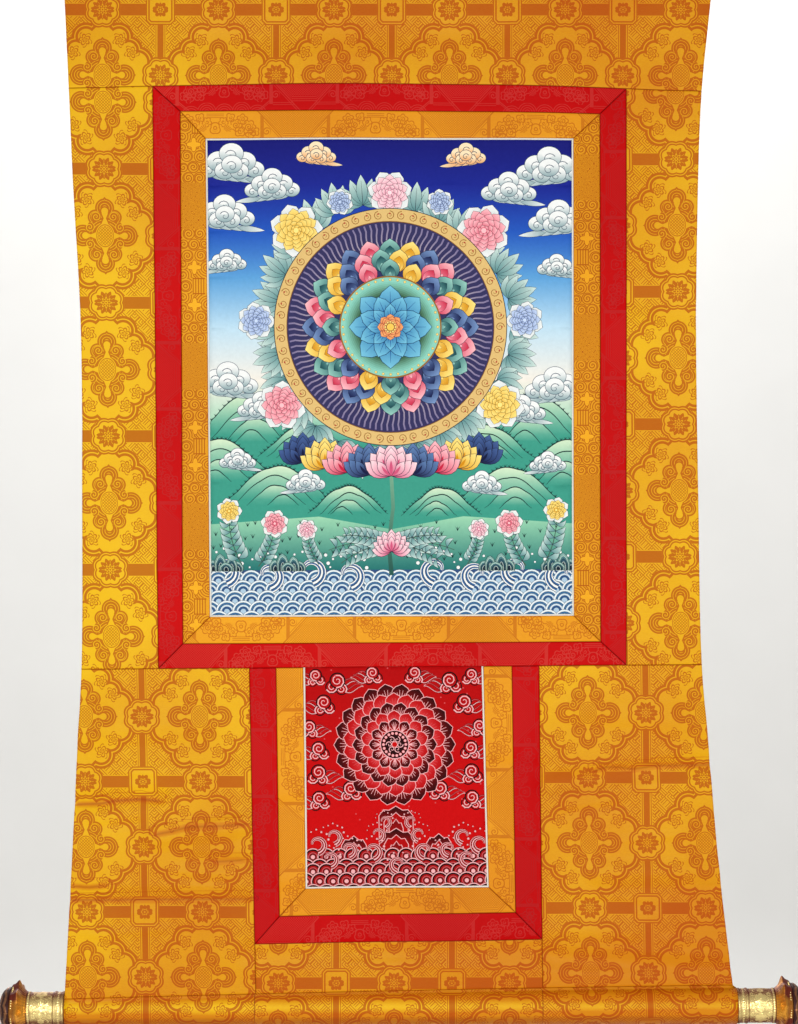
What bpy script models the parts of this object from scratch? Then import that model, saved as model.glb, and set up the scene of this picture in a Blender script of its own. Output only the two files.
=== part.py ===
"""Thangka scroll painting: a painted cloth in brocade mounts, with a roller and two knobs.

The cloth hangs down from its top edge, and the origin is the middle of that edge.
X runs across the cloth, Y into the wall behind it, and Z up. The front faces -Y.
Depths are measured down from the top edge, so a point at depth d has z = -d.
Run with: blender --background --python part.py
"""

import math

import bmesh
import bpy
from mathutils import Vector

# Cloth
BROCADE_THICK = 0.0022        # woven silk with its backing
CANVAS_THICK = 0.0018         # painted cotton
PIPING_THICK = 0.0032         # white cord sewn flat around the pictures
PIPING_WIDTH = 0.0030
PIPING_PROUD = 0.0006         # how far the piping stands in front of the brocade
SEAM_GAP = 0.0003             # between two pieces that are sewn together

# The outer edges of the whole cloth, which is narrowest near the middle
OUTLINE = [
    # depth, left x, right x
    (0.000, -0.3515, 0.3519),
    (0.100, -0.3461, 0.3417),
    (0.200, -0.3415, 0.3374),
    (0.360, -0.3332, 0.3352),
    (0.560, -0.3319, 0.3384),
    (0.720, -0.3330, 0.3417),
    (0.820, -0.3380, 0.3500),
    (0.950, -0.3440, 0.3613),
    (1.095, -0.3517, 0.3780),
]

# Seams that run across: (x, depth) at each end, and how far the middle lies above them
TOP_EDGE = ((-0.352, 0.0), (0.352, 0.0), 0.0)
HEADER_SEAM = ((-0.3461, 0.0998), (0.3417, 0.1024), 0.0074)
LOWER_SEAM = ((-0.3319, 0.7312), (0.3428, 0.7259), 0.0)
ROLLER_SEAM = ((-0.3517, 1.0900), (0.3780, 1.0747), 0.0015)

# The nested frames around the painting. Upright seams: (depth, x) at each end
RED_LEFT = ((0.0967, -0.2555), (0.7306, -0.2496))
RED_RIGHT = ((0.0990, 0.2600), (0.7266, 0.2600))
GOLD_TOP = ((-0.2255, 0.1240), (0.2311, 0.1267), 0.0020)
GOLD_BOTTOM = ((-0.2227, 0.7034), (0.2320, 0.7010), 0.0)
GOLD_LEFT = ((0.1240, -0.2255), (0.7034, -0.2227))
GOLD_RIGHT = ((0.1267, 0.2311), (0.7010, 0.2320))
PICTURE_TOP = ((-0.1985, 0.1531), (0.2027, 0.1531), 0.0008)
PICTURE_BOTTOM = ((-0.1938, 0.6747), (0.2033, 0.6733), 0.0)
PICTURE_LEFT = ((0.1531, -0.1985), (0.6747, -0.1938))
PICTURE_RIGHT = ((0.1531, 0.2027), (0.6733, 0.2033))

# The door, the small framed panel under the painting, which has no strips along its top
DOOR_RED_LEFT = ((0.7307, -0.1504), (1.0300, -0.1444))
DOOR_RED_RIGHT = ((0.7273, 0.1649), (1.0252, 0.1684))
DOOR_RED_BOTTOM = ((-0.1444, 1.0300), (0.1684, 1.0252), 0.0)
DOOR_GOLD_LEFT = ((0.7305, -0.1212), (0.9995, -0.1174))
DOOR_GOLD_RIGHT = ((0.7275, 0.1352), (0.9955, 0.1393))
DOOR_GOLD_BOTTOM = ((-0.1174, 0.9995), (0.1393, 0.9955), 0.0)
DOOR_LEFT = ((0.7303, -0.0921), (0.9700, -0.0895))
DOOR_RIGHT = ((0.7278, 0.1046), (0.9685, 0.1106))
DOOR_BOTTOM = ((-0.0895, 0.9700), (0.1106, 0.9685), 0.0)

# Soft creases from years of being rolled up, as troughs (+) and ridges (-)
CREASES = [
    # start x, start depth, end x, end depth, height, half width
    (-0.345, 0.878, -0.250, 0.870, 0.0034, 0.016),
    (-0.255, 0.915, -0.155, 0.899, -0.0036, 0.018),
    (-0.340, 0.982, -0.160, 0.981, 0.0030, 0.016),
    (-0.222, 0.939, -0.155, 0.941, 0.0022, 0.013),
    (-0.118, 0.881, -0.060, 0.874, 0.0024, 0.013),
    (-0.117, 0.960, -0.040, 0.960, -0.0022, 0.014),
    (0.110, 0.836, 0.165, 0.838, 0.0022, 0.013),
    (0.100, 0.912, 0.166, 0.914, -0.0024, 0.014),
    (0.170, 0.857, 0.350, 0.834, 0.0036, 0.017),
    (0.228, 0.953, 0.362, 0.951, -0.0034, 0.018),
    (0.178, 1.045, 0.372, 1.059, 0.0036, 0.017),
    (0.185, 1.014, 0.265, 1.016, -0.0024, 0.016),
    (-0.150, 1.040, 0.165, 1.037, 0.0034, 0.020),
    (-0.335, 0.800, -0.190, 0.790, -0.0022, 0.022),
    (0.200, 0.772, 0.345, 0.790, -0.0022, 0.022),
    (-0.335, 0.470, -0.262, 0.452, 0.0018, 0.026),
    (0.264, 0.330, 0.336, 0.345, 0.0018, 0.026),
    (-0.200, 0.046, 0.120, 0.038, 0.0016, 0.024),
]

# Long shallow waves of cloth that hangs free, strongest between the seams
WAVES = [
    # height, crests per metre across, crests per metre down, start of the first crest
    (0.0016, 4.25, 0.35, 0.0),
    (0.0011, -0.60, 2.45, 0.175),
]
EDGE_CURL = 0.0040            # how far the free side edges turn forward, and then back
EDGE_CURL_WIDTH = 0.045
EDGE_CURLS_DOWN = 0.83        # turns per metre down
EDGE_CURL_START = 0.064
CALM_TOP = 0.060              # the cloth is flat at the top edge and at the roller
CALM_BOTTOM = 0.035
CREASE_END = 0.020            # above the roller, where creases die out

# Roller: its axis runs a little behind the cloth at the left end
AXIS_LEFT = Vector((-0.3744, 0.0165, -1.1042))
AXIS_RIGHT = Vector((0.3995, 0.0005, -1.0971))
SLEEVE_RADIUS = 0.0199
SLEEVE_THICK = 0.0017
SLEEVE_LEFT_X = -0.3521
SLEEVE_RIGHT_X = 0.3793
SLEEVE_STATIONS = 8
SLEEVE_STEPS = 26
ROD_RADIUS = SLEEVE_RADIUS - SLEEVE_THICK - SEAM_GAP
SPIGOT_RADIUS = 0.0157        # the turned-down rod ends that the knobs sit on
BORE_RADIUS = SPIGOT_RADIUS + SEAM_GAP
ROD_STEPS = 28

# Knobs, along the axis from the edge of the sleeve outwards
FERRULE_LENGTH = 0.0410
CROWN_LENGTH = 0.0172
KNOB_STEPS = 28
PETALS = 8
PETAL_STEPS = 6
PETAL_TIP = 0.0050            # how far the tips reach past the notches between them
PETAL_ROOT = 0.0215           # the radius where the petals begin
PETAL_RIM = 0.0270
PETAL_SHARPNESS = 1.4
RIGHT_CROWN_TURN = 0.03       # the right crown is seated a little turned, in turns
FERRULE_OUTER = [
    # distance along the knob, radius
    (0.0000, 0.0180),
    (0.0010, 0.0192),
    (0.0035, 0.0197),
    (0.0060, 0.0190),
    (0.0085, 0.0197),
    (0.0110, 0.0192),
    (0.0130, 0.0183),
    (0.0375, 0.0183),
    (0.0395, 0.0190),
    (0.0410, 0.0190),
]
CROWN_OUTER = [
    (0.0000, 0.0190),
    (0.0020, 0.0202),
    (0.0045, 0.0222),
    (0.0075, 0.0258),
    (0.0090, 0.0270),
    (0.0105, 0.0266),
    (0.0135, 0.0250),
    (0.0160, 0.0246),
    (0.0172, 0.0240),
]
CAP_OUTER = [
    (0.0000, 0.0238),
    (0.0015, 0.0246),
    (0.0040, 0.0240),
    (0.0070, 0.0218),
    (0.0100, 0.0178),
    (0.0125, 0.0118),
    (0.0140, 0.0056),
    (0.0145, 0.0),
]

# Spacing of the mesh rows and columns
ROW_STEP = 0.030
CREASED_ROW_STEP = 0.0135
COLUMN_STEP = 0.034

BROCADE_YELLOW = (0.78, 0.36, 0.03)
BROCADE_GOLD = (0.68, 0.27, 0.02)
BROCADE_RED = (0.55, 0.012, 0.012)
PIPING_WHITE = (0.85, 0.84, 0.80)
CANVAS_BLUE = (0.20, 0.42, 0.48)
DOOR_CRIMSON = (0.50, 0.020, 0.022)
WOOD_BROWN = (0.33, 0.20, 0.10)
KNOB_GOLD = (0.80, 0.56, 0.20)


TURN = 2.0 * math.pi


def mix(a, b, t):
    return a + (b - a) * t


def smooth(t):
    """An S curve from 0 to 1."""
    t = min(max(t, 0.0), 1.0)
    return t * t * (3.0 - 2.0 * t)


class Seam:
    """A sewn line. Its value (x or depth) is a shallow curve of the other measure."""

    def __init__(self, start, end, bow=0.0):
        self.start, self.end, self.bow = start, end, bow

    def at(self, t):
        run = (t - self.start[0]) / (self.end[0] - self.start[0])
        return mix(self.start[1], self.end[1], run) - 4.0 * self.bow * run * (1.0 - run)

    def moved(self, t, distance):
        """The value of a parallel line, at the given distance from this one."""
        step = 0.001
        slope = (self.at(t + step) - self.at(t - step)) / (2.0 * step)
        return self.at(t) + distance * math.hypot(1.0, slope)


class Outline(Seam):
    """One free side edge, a smooth curve through the rows of OUTLINE."""

    def __init__(self, column):
        self.rows = [(row[0], row[column]) for row in OUTLINE]

    def at(self, depth):
        rows = self.rows
        last = len(rows) - 2
        index = next((i for i in range(last) if depth < rows[i + 1][0]), last)
        (d0, x0), (d1, x1) = rows[index], rows[index + 1]
        before, after = rows[max(index - 1, 0)], rows[min(index + 2, last + 1)]
        slope0 = (x1 - before[1]) / (d1 - before[0]) * (d1 - d0)
        slope1 = (after[1] - x0) / (after[0] - d0) * (d1 - d0)
        t = (depth - d0) / (d1 - d0)
        if not 0.0 <= t <= 1.0:
            return x0 + slope0 * t if t < 0.0 else x1 + slope1 * (t - 1.0)
        return (x0 * (1 + 2 * t) * (1 - t) ** 2 + slope0 * t * (1 - t) ** 2
                + x1 * t * t * (3 - 2 * t) + slope1 * t * t * (t - 1))


EDGE_LEFT = Outline(1)
EDGE_RIGHT = Outline(2)


def crease_height(x, depth):
    """The sum of the creases at a point of the cloth."""
    total = 0.0
    for x0, d0, x1, d1, height, half in CREASES:
        along = ((x - x0) * (x1 - x0) + (depth - d0) * (d1 - d0)) / ((x1 - x0) ** 2 + (d1 - d0) ** 2)
        along = min(max(along, 0.0), 1.0)
        away = math.hypot(x - mix(x0, x1, along), depth - mix(d0, d1, along))
        if away < half:
            total += height * (1.0 - (away / half) ** 2) ** 2
    return total


def fold(x, depth):
    """How far the middle of the cloth lies behind the plane y = 0."""
    above_roller = ROLLER_SEAM[1][1] - depth
    calm = smooth(depth / CALM_TOP) * smooth(above_roller / CALM_BOTTOM)
    waves = sum(height * math.sin(TURN * (across * x + down * depth + start))
                for height, across, down, start in WAVES)
    free = min(x - EDGE_LEFT.at(depth), EDGE_RIGHT.at(depth) - x)
    curl = math.sin(TURN * (EDGE_CURLS_DOWN * depth + EDGE_CURL_START))
    curl *= EDGE_CURL * (1.0 - smooth(free / EDGE_CURL_WIDTH))
    return calm * (waves - curl) + crease_height(x, depth) * smooth(above_roller / CREASE_END)


def corner(upright, level):
    """The (depth, x) where an upright seam crosses a level one."""
    x = upright.at(level.start[1])
    for _ in range(8):
        depth = level.at(x)
        x = upright.at(depth)
    return depth, x


def mitres(outer, inner):
    """The diagonal seam between two corners, as an upright seam and as a level one."""
    (d0, x0), (d1, x1) = outer, inner
    return Seam((d0, x0), (d1, x1)), Seam((x0, d0), (x1, d1))


def material(name, colour, roughness, metallic):
    made = bpy.data.materials.get(name)
    if made is None:
        made = bpy.data.materials.new(name)
        made.use_nodes = True
        shader = made.node_tree.nodes["Principled BSDF"]
        shader.inputs["Base Color"].default_value = (*colour, 1.0)
        shader.inputs["Roughness"].default_value = roughness
        shader.inputs["Metallic"].default_value = metallic
        made.diffuse_color = (*colour, 1.0)
    return made


def add_object(name, mesh, finish, collection):
    obj = bpy.data.objects.new(name, mesh)
    obj.data.materials.append(finish)
    collection.objects.link(obj)
    return obj


def place(sides, levels, across, down, inset=0.0):
    """The (x, depth) of a point of a piece, given as shares of its width and height."""
    left, right = sides
    top, bottom = levels
    x, depth = 0.0, 0.5
    for _ in range(14):
        x = mix(left.moved(depth, inset), right.moved(depth, -inset), across)
        depth = mix(top.moved(x, inset), bottom.moved(x, -inset), down)
    return x, depth


def cloth(name, sides, levels, finish, collection, thick=BROCADE_THICK, proud=0.0, row_step=ROW_STEP):
    """A piece of cloth between two upright seams and two level ones, on the common folds."""
    x_mid, depth_mid = place(sides, levels, 0.5, 0.5)
    rows = max(1, round((levels[1].at(x_mid) - levels[0].at(x_mid)) / row_step))
    columns = max(1, round((sides[1].at(depth_mid) - sides[0].at(depth_mid)) / COLUMN_STEP))
    bm = bmesh.new()
    bmesh.ops.create_grid(bm, x_segments=columns, y_segments=rows, size=0.5)
    for vertex in bm.verts:
        x, depth = place(sides, levels, vertex.co.x + 0.5, 0.5 - vertex.co.y, SEAM_GAP / 2.0)
        vertex.co = (x, fold(x, depth) - thick / 2.0 - proud, -depth)
    back = bmesh.ops.extrude_face_region(bm, geom=bm.faces[:])["geom"]
    moved = [item for item in back if isinstance(item, bmesh.types.BMVert)]
    bmesh.ops.translate(bm, verts=moved, vec=(0.0, thick, 0.0))
    bmesh.ops.recalc_face_normals(bm, faces=bm.faces[:])
    mesh = bpy.data.meshes.new(name)
    bm.to_mesh(mesh)
    bm.free()
    return add_object(name, mesh, finish, collection)


def frame_strips(name, outer, inner, finish, collection, thick=BROCADE_THICK, proud=0.0,
                 with_top=True, row_step=ROW_STEP):
    """The strips between two nested frames, each (left, right, top, bottom), with mitred corners."""
    left, right, top, bottom = outer
    left_in, right_in, top_in, bottom_in = inner
    bottom_left_x, bottom_left_z = mitres(corner(left, bottom), corner(left_in, bottom_in))
    bottom_right_x, bottom_right_z = mitres(corner(right, bottom), corner(right_in, bottom_in))
    left_top, right_top = top, top
    if with_top:
        top_left_x, left_top = mitres(corner(left, top), corner(left_in, top_in))
        top_right_x, right_top = mitres(corner(right, top), corner(right_in, top_in))
        cloth(name + "_top", (top_left_x, top_right_x), (top, top_in), finish, collection,
              thick, proud, row_step)
    cloth(name + "_bottom", (bottom_left_x, bottom_right_x), (bottom_in, bottom), finish,
          collection, thick, proud, row_step)
    cloth(name + "_left", (left, left_in), (left_top, bottom_left_z), finish, collection,
          thick, proud, row_step)
    cloth(name + "_right", (right_in, right), (right_top, bottom_right_z), finish, collection,
          thick, proud, row_step)


def piped_inside(frame, has_top):
    """The frame that lies one piping width inside another."""
    left, right, top, bottom = frame
    width = PIPING_WIDTH

    def shifted(seam, distance):
        (t0, v0), (t1, v1) = seam.start, seam.end
        return Seam((t0, v0 + distance), (t1, v1 + distance), seam.bow)

    return (shifted(left, width), shifted(right, -width),
            shifted(top, width) if has_top else top, shifted(bottom, -width))


def make_brocade(collection):
    """The yellow brocade panels around the frames."""
    gold = material("brocade_yellow", BROCADE_YELLOW, 0.45, 0.0)
    top, header = Seam(*TOP_EDGE), Seam(*HEADER_SEAM)
    lower, roller = Seam(*LOWER_SEAM), Seam(*ROLLER_SEAM)
    red_left, red_right = Seam(*RED_LEFT), Seam(*RED_RIGHT)
    door_left, door_right = Seam(*DOOR_RED_LEFT), Seam(*DOOR_RED_RIGHT)
    cloth("header_panel", (EDGE_LEFT, EDGE_RIGHT), (top, header), gold, collection, row_step=0.025)
    cloth("side_panel_left", (EDGE_LEFT, red_left), (header, lower), gold, collection)
    cloth("side_panel_right", (red_right, EDGE_RIGHT), (header, lower), gold, collection)
    cloth("skirt_panel_left", (EDGE_LEFT, door_left), (lower, roller), gold, collection,
          row_step=CREASED_ROW_STEP)
    cloth("skirt_panel_right", (door_right, EDGE_RIGHT), (lower, roller), gold, collection,
          row_step=CREASED_ROW_STEP)
    cloth("skirt_panel_middle", (door_left, door_right), (Seam(*DOOR_RED_BOTTOM), roller), gold,
          collection, row_step=CREASED_ROW_STEP)


def make_picture(collection):
    """The painting with its red and gold borders and its piping."""
    red = material("border_red", BROCADE_RED, 0.55, 0.0)
    gold = material("border_gold", BROCADE_GOLD, 0.5, 0.0)
    white = material("piping_white", PIPING_WHITE, 0.7, 0.0)
    outside = (Seam(*RED_LEFT), Seam(*RED_RIGHT), Seam(*HEADER_SEAM), Seam(*LOWER_SEAM))
    middle = (Seam(*GOLD_LEFT), Seam(*GOLD_RIGHT), Seam(*GOLD_TOP), Seam(*GOLD_BOTTOM))
    inside = (Seam(*PICTURE_LEFT), Seam(*PICTURE_RIGHT), Seam(*PICTURE_TOP), Seam(*PICTURE_BOTTOM))
    canvas = piped_inside(inside, True)
    frame_strips("red_border", outside, middle, red, collection)
    frame_strips("gold_border", middle, inside, gold, collection)
    frame_strips("picture_piping", inside, canvas, white, collection, PIPING_THICK, PIPING_PROUD)
    cloth("painting_canvas", canvas[:2], canvas[2:], material("canvas", CANVAS_BLUE, 0.8, 0.0),
          collection, CANVAS_THICK)


def make_door(collection):
    """The small embroidered panel under the painting, framed on three sides."""
    red = material("border_red", BROCADE_RED, 0.55, 0.0)
    gold = material("border_gold", BROCADE_GOLD, 0.5, 0.0)
    white = material("piping_white", PIPING_WHITE, 0.7, 0.0)
    lower = Seam(*LOWER_SEAM)
    outside = (Seam(*DOOR_RED_LEFT), Seam(*DOOR_RED_RIGHT), lower, Seam(*DOOR_RED_BOTTOM))
    middle = (Seam(*DOOR_GOLD_LEFT), Seam(*DOOR_GOLD_RIGHT), lower, Seam(*DOOR_GOLD_BOTTOM))
    inside = (Seam(*DOOR_LEFT), Seam(*DOOR_RIGHT), lower, Seam(*DOOR_BOTTOM))
    panel = piped_inside(inside, False)
    step = CREASED_ROW_STEP
    frame_strips("door_red", outside, middle, red, collection, with_top=False, row_step=step)
    frame_strips("door_gold", middle, inside, gold, collection, with_top=False, row_step=step)
    frame_strips("door_piping", inside, panel, white, collection, PIPING_THICK, PIPING_PROUD,
                 with_top=False)
    cloth("door_panel", panel[:2], panel[2:], material("door_silk", DOOR_CRIMSON, 0.5, 0.0), collection)


def sleeve_section(share):
    """The outer and inner rings of points of the sleeve at a share of its length."""
    ring_x = mix(SLEEVE_LEFT_X, SLEEVE_RIGHT_X, share)
    axis = AXIS_LEFT.lerp(AXIS_RIGHT, (ring_x - AXIS_LEFT.x) / (AXIS_RIGHT.x - AXIS_LEFT.x))
    seam = Seam(*ROLLER_SEAM)
    half = BROCADE_THICK / 2.0
    tab_x = mix(EDGE_LEFT.at(seam.start[1]) + SEAM_GAP, EDGE_RIGHT.at(seam.end[1]) - SEAM_GAP, share)
    tab_top = -seam.moved(tab_x, SEAM_GAP / 2.0)
    front = math.asin((-half - axis.y) / SLEEVE_RADIUS)
    back = math.asin((half - axis.y) / SLEEVE_RADIUS)
    outer, inner = [Vector((tab_x, -half, tab_top))], []
    for step in range(SLEEVE_STEPS + 1):
        angle = front - (TURN - (back - front)) * step / SLEEVE_STEPS
        toward = Vector((0.0, math.sin(angle), math.cos(angle)))
        point = axis + toward * SLEEVE_RADIUS
        outer.append(Vector((ring_x, point.y, point.z)))
        point = axis + toward * (SLEEVE_RADIUS - SLEEVE_THICK)
        inner.append(Vector((ring_x, point.y, point.z)))
    outer.append(Vector((tab_x, half, tab_top)))
    return outer, inner


def make_sleeve(collection):
    """The brocade sleeve around the rod, with the flap that is sewn to the panels above."""
    bm = bmesh.new()
    loops = []
    for station in range(SLEEVE_STATIONS + 1):
        outer, inner = sleeve_section(station / SLEEVE_STATIONS)
        loops.append(([bm.verts.new(p) for p in outer], [bm.verts.new(p) for p in inner]))
    for (outer0, inner0), (outer1, inner1) in zip(loops, loops[1:]):
        for ring0, ring1 in ((outer0, outer1), (inner0, inner1)):
            for i in range(len(ring0)):
                j = (i + 1) % len(ring0)
                bm.faces.new((ring0[i], ring0[j], ring1[j], ring1[i]))
    for outer, inner in (loops[0], loops[-1]):
        for i in range(len(inner) - 1):
            bm.faces.new((outer[i + 1], outer[i + 2], inner[i + 1], inner[i]))
        bm.faces.new((outer[1], inner[0], inner[-1], outer[-2]))
        bm.faces.new((outer[0], outer[1], outer[-2], outer[-1]))
    bmesh.ops.recalc_face_normals(bm, faces=bm.faces[:])
    mesh = bpy.data.meshes.new("roller_sleeve")
    bm.to_mesh(mesh)
    bm.free()
    gold = material("brocade_yellow", BROCADE_YELLOW, 0.45, 0.0)
    return add_object("roller_sleeve", mesh, gold, collection)


def turned(name, profile, steps, start, direction, finish, collection, closed):
    """A piece turned about the roller's axis from its (distance along, radius) profile."""
    bm = bmesh.new()
    points = [bm.verts.new((radius, 0.0, along)) for along, radius in profile]
    for a, b in zip(points, points[1:]):
        bm.edges.new((a, b))
    if closed:
        bm.edges.new((points[-1], points[0]))
    bmesh.ops.spin(bm, geom=bm.verts[:] + bm.edges[:], axis=(0.0, 0.0, 1.0), cent=(0.0, 0.0, 0.0),
                   angle=TURN, steps=steps, use_merge=True)
    bmesh.ops.remove_doubles(bm, verts=bm.verts[:], dist=0.000002)
    bmesh.ops.recalc_face_normals(bm, faces=bm.faces[:])
    mesh = bpy.data.meshes.new(name)
    bm.to_mesh(mesh)
    bm.free()
    mesh.shade_smooth()
    obj = add_object(name, mesh, finish, collection)
    obj.location = start
    obj.rotation_mode = "QUATERNION"
    obj.rotation_quaternion = direction.to_track_quat("Z", "Y")
    return obj


def petal_edge(obj, turn):
    """Draws the rim of the crown out into pointed petals."""
    for vertex in obj.data.vertices:
        radius = math.hypot(vertex.co.x, vertex.co.y)
        share = smooth((radius - PETAL_ROOT) / (PETAL_RIM - PETAL_ROOT))
        phase = (math.atan2(vertex.co.y, vertex.co.x) / TURN + turn) * PETALS % 1.0
        point = abs(2.0 * phase - 1.0)
        scale = 1.0 + PETAL_TIP * share * point ** PETAL_SHARPNESS / radius
        vertex.co.x *= scale
        vertex.co.y *= scale


def make_roller(collection):
    """The wooden rod, and at each end a knob of ferrule, crown and cap."""
    wood = material("rod_wood", WOOD_BROWN, 0.6, 0.0)
    gold = material("knob_gold", KNOB_GOLD, 0.32, 1.0)
    across = (AXIS_RIGHT - AXIS_LEFT).normalized()

    def on_axis(x):
        return AXIS_LEFT + across * ((x - AXIS_LEFT.x) / across.x)

    spigot = FERRULE_LENGTH + CROWN_LENGTH
    rod_left, rod_right = on_axis(SLEEVE_LEFT_X), on_axis(SLEEVE_RIGHT_X)
    length = (rod_right - rod_left).length
    rod_profile = [
        (length + spigot, 0.0),
        (length + spigot, SPIGOT_RADIUS),
        (length, SPIGOT_RADIUS),
        (length, ROD_RADIUS),
        (0.0, ROD_RADIUS),
        (0.0, SPIGOT_RADIUS),
        (-spigot, SPIGOT_RADIUS),
        (-spigot, 0.0),
    ]
    turned("roller_rod", rod_profile, ROD_STEPS, rod_left, across, wood, collection, False)
    knobs = (("left", rod_left, -across, 0.0), ("right", rod_right, across, RIGHT_CROWN_TURN))
    for side, start, outward, turn in knobs:
        ferrule_start = start + outward * SEAM_GAP
        crown_start = ferrule_start + outward * (FERRULE_LENGTH + SEAM_GAP)
        cap_start = start + outward * (spigot + 3.0 * SEAM_GAP)
        ferrule = FERRULE_OUTER[::-1] + [(0.0, BORE_RADIUS), (FERRULE_LENGTH, BORE_RADIUS)]
        crown = CROWN_OUTER[::-1] + [(0.0, BORE_RADIUS), (CROWN_LENGTH, BORE_RADIUS)]
        cap = [*CAP_OUTER[::-1], (0.0, 0.0)]
        turned("knob_ferrule_" + side, ferrule, KNOB_STEPS, ferrule_start, outward, gold, collection, True)
        flower = turned("knob_crown_" + side, crown, PETALS * PETAL_STEPS, crown_start, outward, gold,
                        collection, True)
        petal_edge(flower, turn)
        turned("knob_cap_" + side, cap, KNOB_STEPS, cap_start, outward, gold, collection, False)


def main():
    for obj in list(bpy.data.objects):
        bpy.data.objects.remove(obj, do_unlink=True)
    collection = bpy.data.collections.new("thangka_scroll")
    bpy.context.scene.collection.children.link(collection)
    make_brocade(collection)
    make_picture(collection)
    make_door(collection)
    make_sleeve(collection)
    make_roller(collection)


main()
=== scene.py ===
"""The looks of the thangka scroll: brocade mounts, painted canvas, embroidered door and gilt knobs."""

import math
from collections import defaultdict

import bmesh
import bpy
import numpy as np
from mathutils import Matrix, Vector
from mathutils.geometry import delaunay_2d_cdt


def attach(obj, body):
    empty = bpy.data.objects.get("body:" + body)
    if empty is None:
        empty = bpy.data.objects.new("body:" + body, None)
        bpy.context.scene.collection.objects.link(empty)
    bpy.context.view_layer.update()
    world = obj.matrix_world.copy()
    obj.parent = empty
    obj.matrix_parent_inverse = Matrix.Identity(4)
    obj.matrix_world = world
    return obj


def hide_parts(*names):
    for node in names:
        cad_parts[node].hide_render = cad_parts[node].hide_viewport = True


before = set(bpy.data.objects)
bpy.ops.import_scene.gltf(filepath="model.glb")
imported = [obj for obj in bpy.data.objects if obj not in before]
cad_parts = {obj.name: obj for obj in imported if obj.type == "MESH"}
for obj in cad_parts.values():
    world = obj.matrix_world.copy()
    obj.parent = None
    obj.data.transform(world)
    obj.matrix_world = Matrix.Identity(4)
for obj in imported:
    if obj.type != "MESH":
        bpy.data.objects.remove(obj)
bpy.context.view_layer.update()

TURN = 2.0 * math.pi
SLANT = 0.7071                # of a line that leans by an eighth of a turn
MM = 0.001

# Cloth, as in the solids
BROCADE_THICK = 0.0022
CANVAS_THICK = 0.0018
PIPING_THICK = 0.0026
PIPING_WIDTH = 0.0030
PIPING_TUCK = 0.0006          # how far the border and the canvas each lap over the piping
PIPING_SHOWN = PIPING_WIDTH - 2.0 * PIPING_TUCK
PIPING_PROUD = 0.0003
SEAM_OVERLAP = 0.0001

OUTLINE = np.array([
    # depth, left x, right x
    (0.000, -0.3515, 0.3519),
    (0.100, -0.3461, 0.3417),
    (0.200, -0.3415, 0.3374),
    (0.360, -0.3332, 0.3352),
    (0.560, -0.3319, 0.3384),
    (0.720, -0.3330, 0.3417),
    (0.820, -0.3380, 0.3500),
    (0.950, -0.3440, 0.3613),
    (1.095, -0.3517, 0.3780),
])

CREASES = [
    # start x, start depth, end x, end depth, height, half width
    (-0.345, 0.878, -0.250, 0.870, 0.0034, 0.016), (-0.255, 0.915, -0.155, 0.899, -0.0036, 0.018),
    (-0.340, 0.982, -0.160, 0.981, 0.0030, 0.016), (-0.222, 0.939, -0.155, 0.941, 0.0022, 0.013),
    (-0.118, 0.881, -0.060, 0.874, 0.0024, 0.013), (-0.117, 0.960, -0.040, 0.960, -0.0022, 0.014),
    (0.110, 0.836, 0.165, 0.838, 0.0022, 0.013), (0.100, 0.912, 0.166, 0.914, -0.0024, 0.014),
    (0.170, 0.857, 0.350, 0.834, 0.0036, 0.017), (0.228, 0.953, 0.362, 0.951, -0.0034, 0.018),
    (0.178, 1.045, 0.372, 1.059, 0.0036, 0.017), (0.185, 1.014, 0.265, 1.016, -0.0024, 0.016),
    (-0.150, 1.040, 0.165, 1.037, 0.0034, 0.020), (-0.335, 0.800, -0.190, 0.790, -0.0022, 0.022),
    (0.200, 0.772, 0.345, 0.790, -0.0022, 0.022), (-0.335, 0.470, -0.262, 0.452, 0.0018, 0.026),
    (0.264, 0.330, 0.336, 0.345, 0.0018, 0.026), (-0.200, 0.046, 0.120, 0.038, 0.0016, 0.024),
]
WAVES = [
    # height, crests per metre across, crests per metre down, start of the first crest
    (0.0016, 4.25, 0.35, 0.0),
    (0.0011, -0.60, 2.45, 0.175),
]
EDGE_CURL = 0.0040
EDGE_CURL_WIDTH = 0.045
EDGE_CURLS_DOWN = 0.83
EDGE_CURL_START = 0.064
CALM_TOP = 0.060
CALM_BOTTOM = 0.035
CREASE_END = 0.020

DIP_WIDTH = 0.0034                        # of a pressed crease

# How finely the cloth is made, and how it turns into its seams
CLOTH_STEP = 0.0062
STRIP_STEP = 0.0060
CLOTH_ROW_STEP = 0.0048
SKIRT_ROW_STEP = 0.0019
SEAM_STATIONS = (0.0, 0.0004, 0.0010, 0.0018, 0.0032)
ROLL_WIDTH = 0.0018
ROLL_DROP = 0.36
PIPING_STEP = 0.0045
PIPING_SIDES = 8
PIPING_LAP = 0.0002

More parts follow.
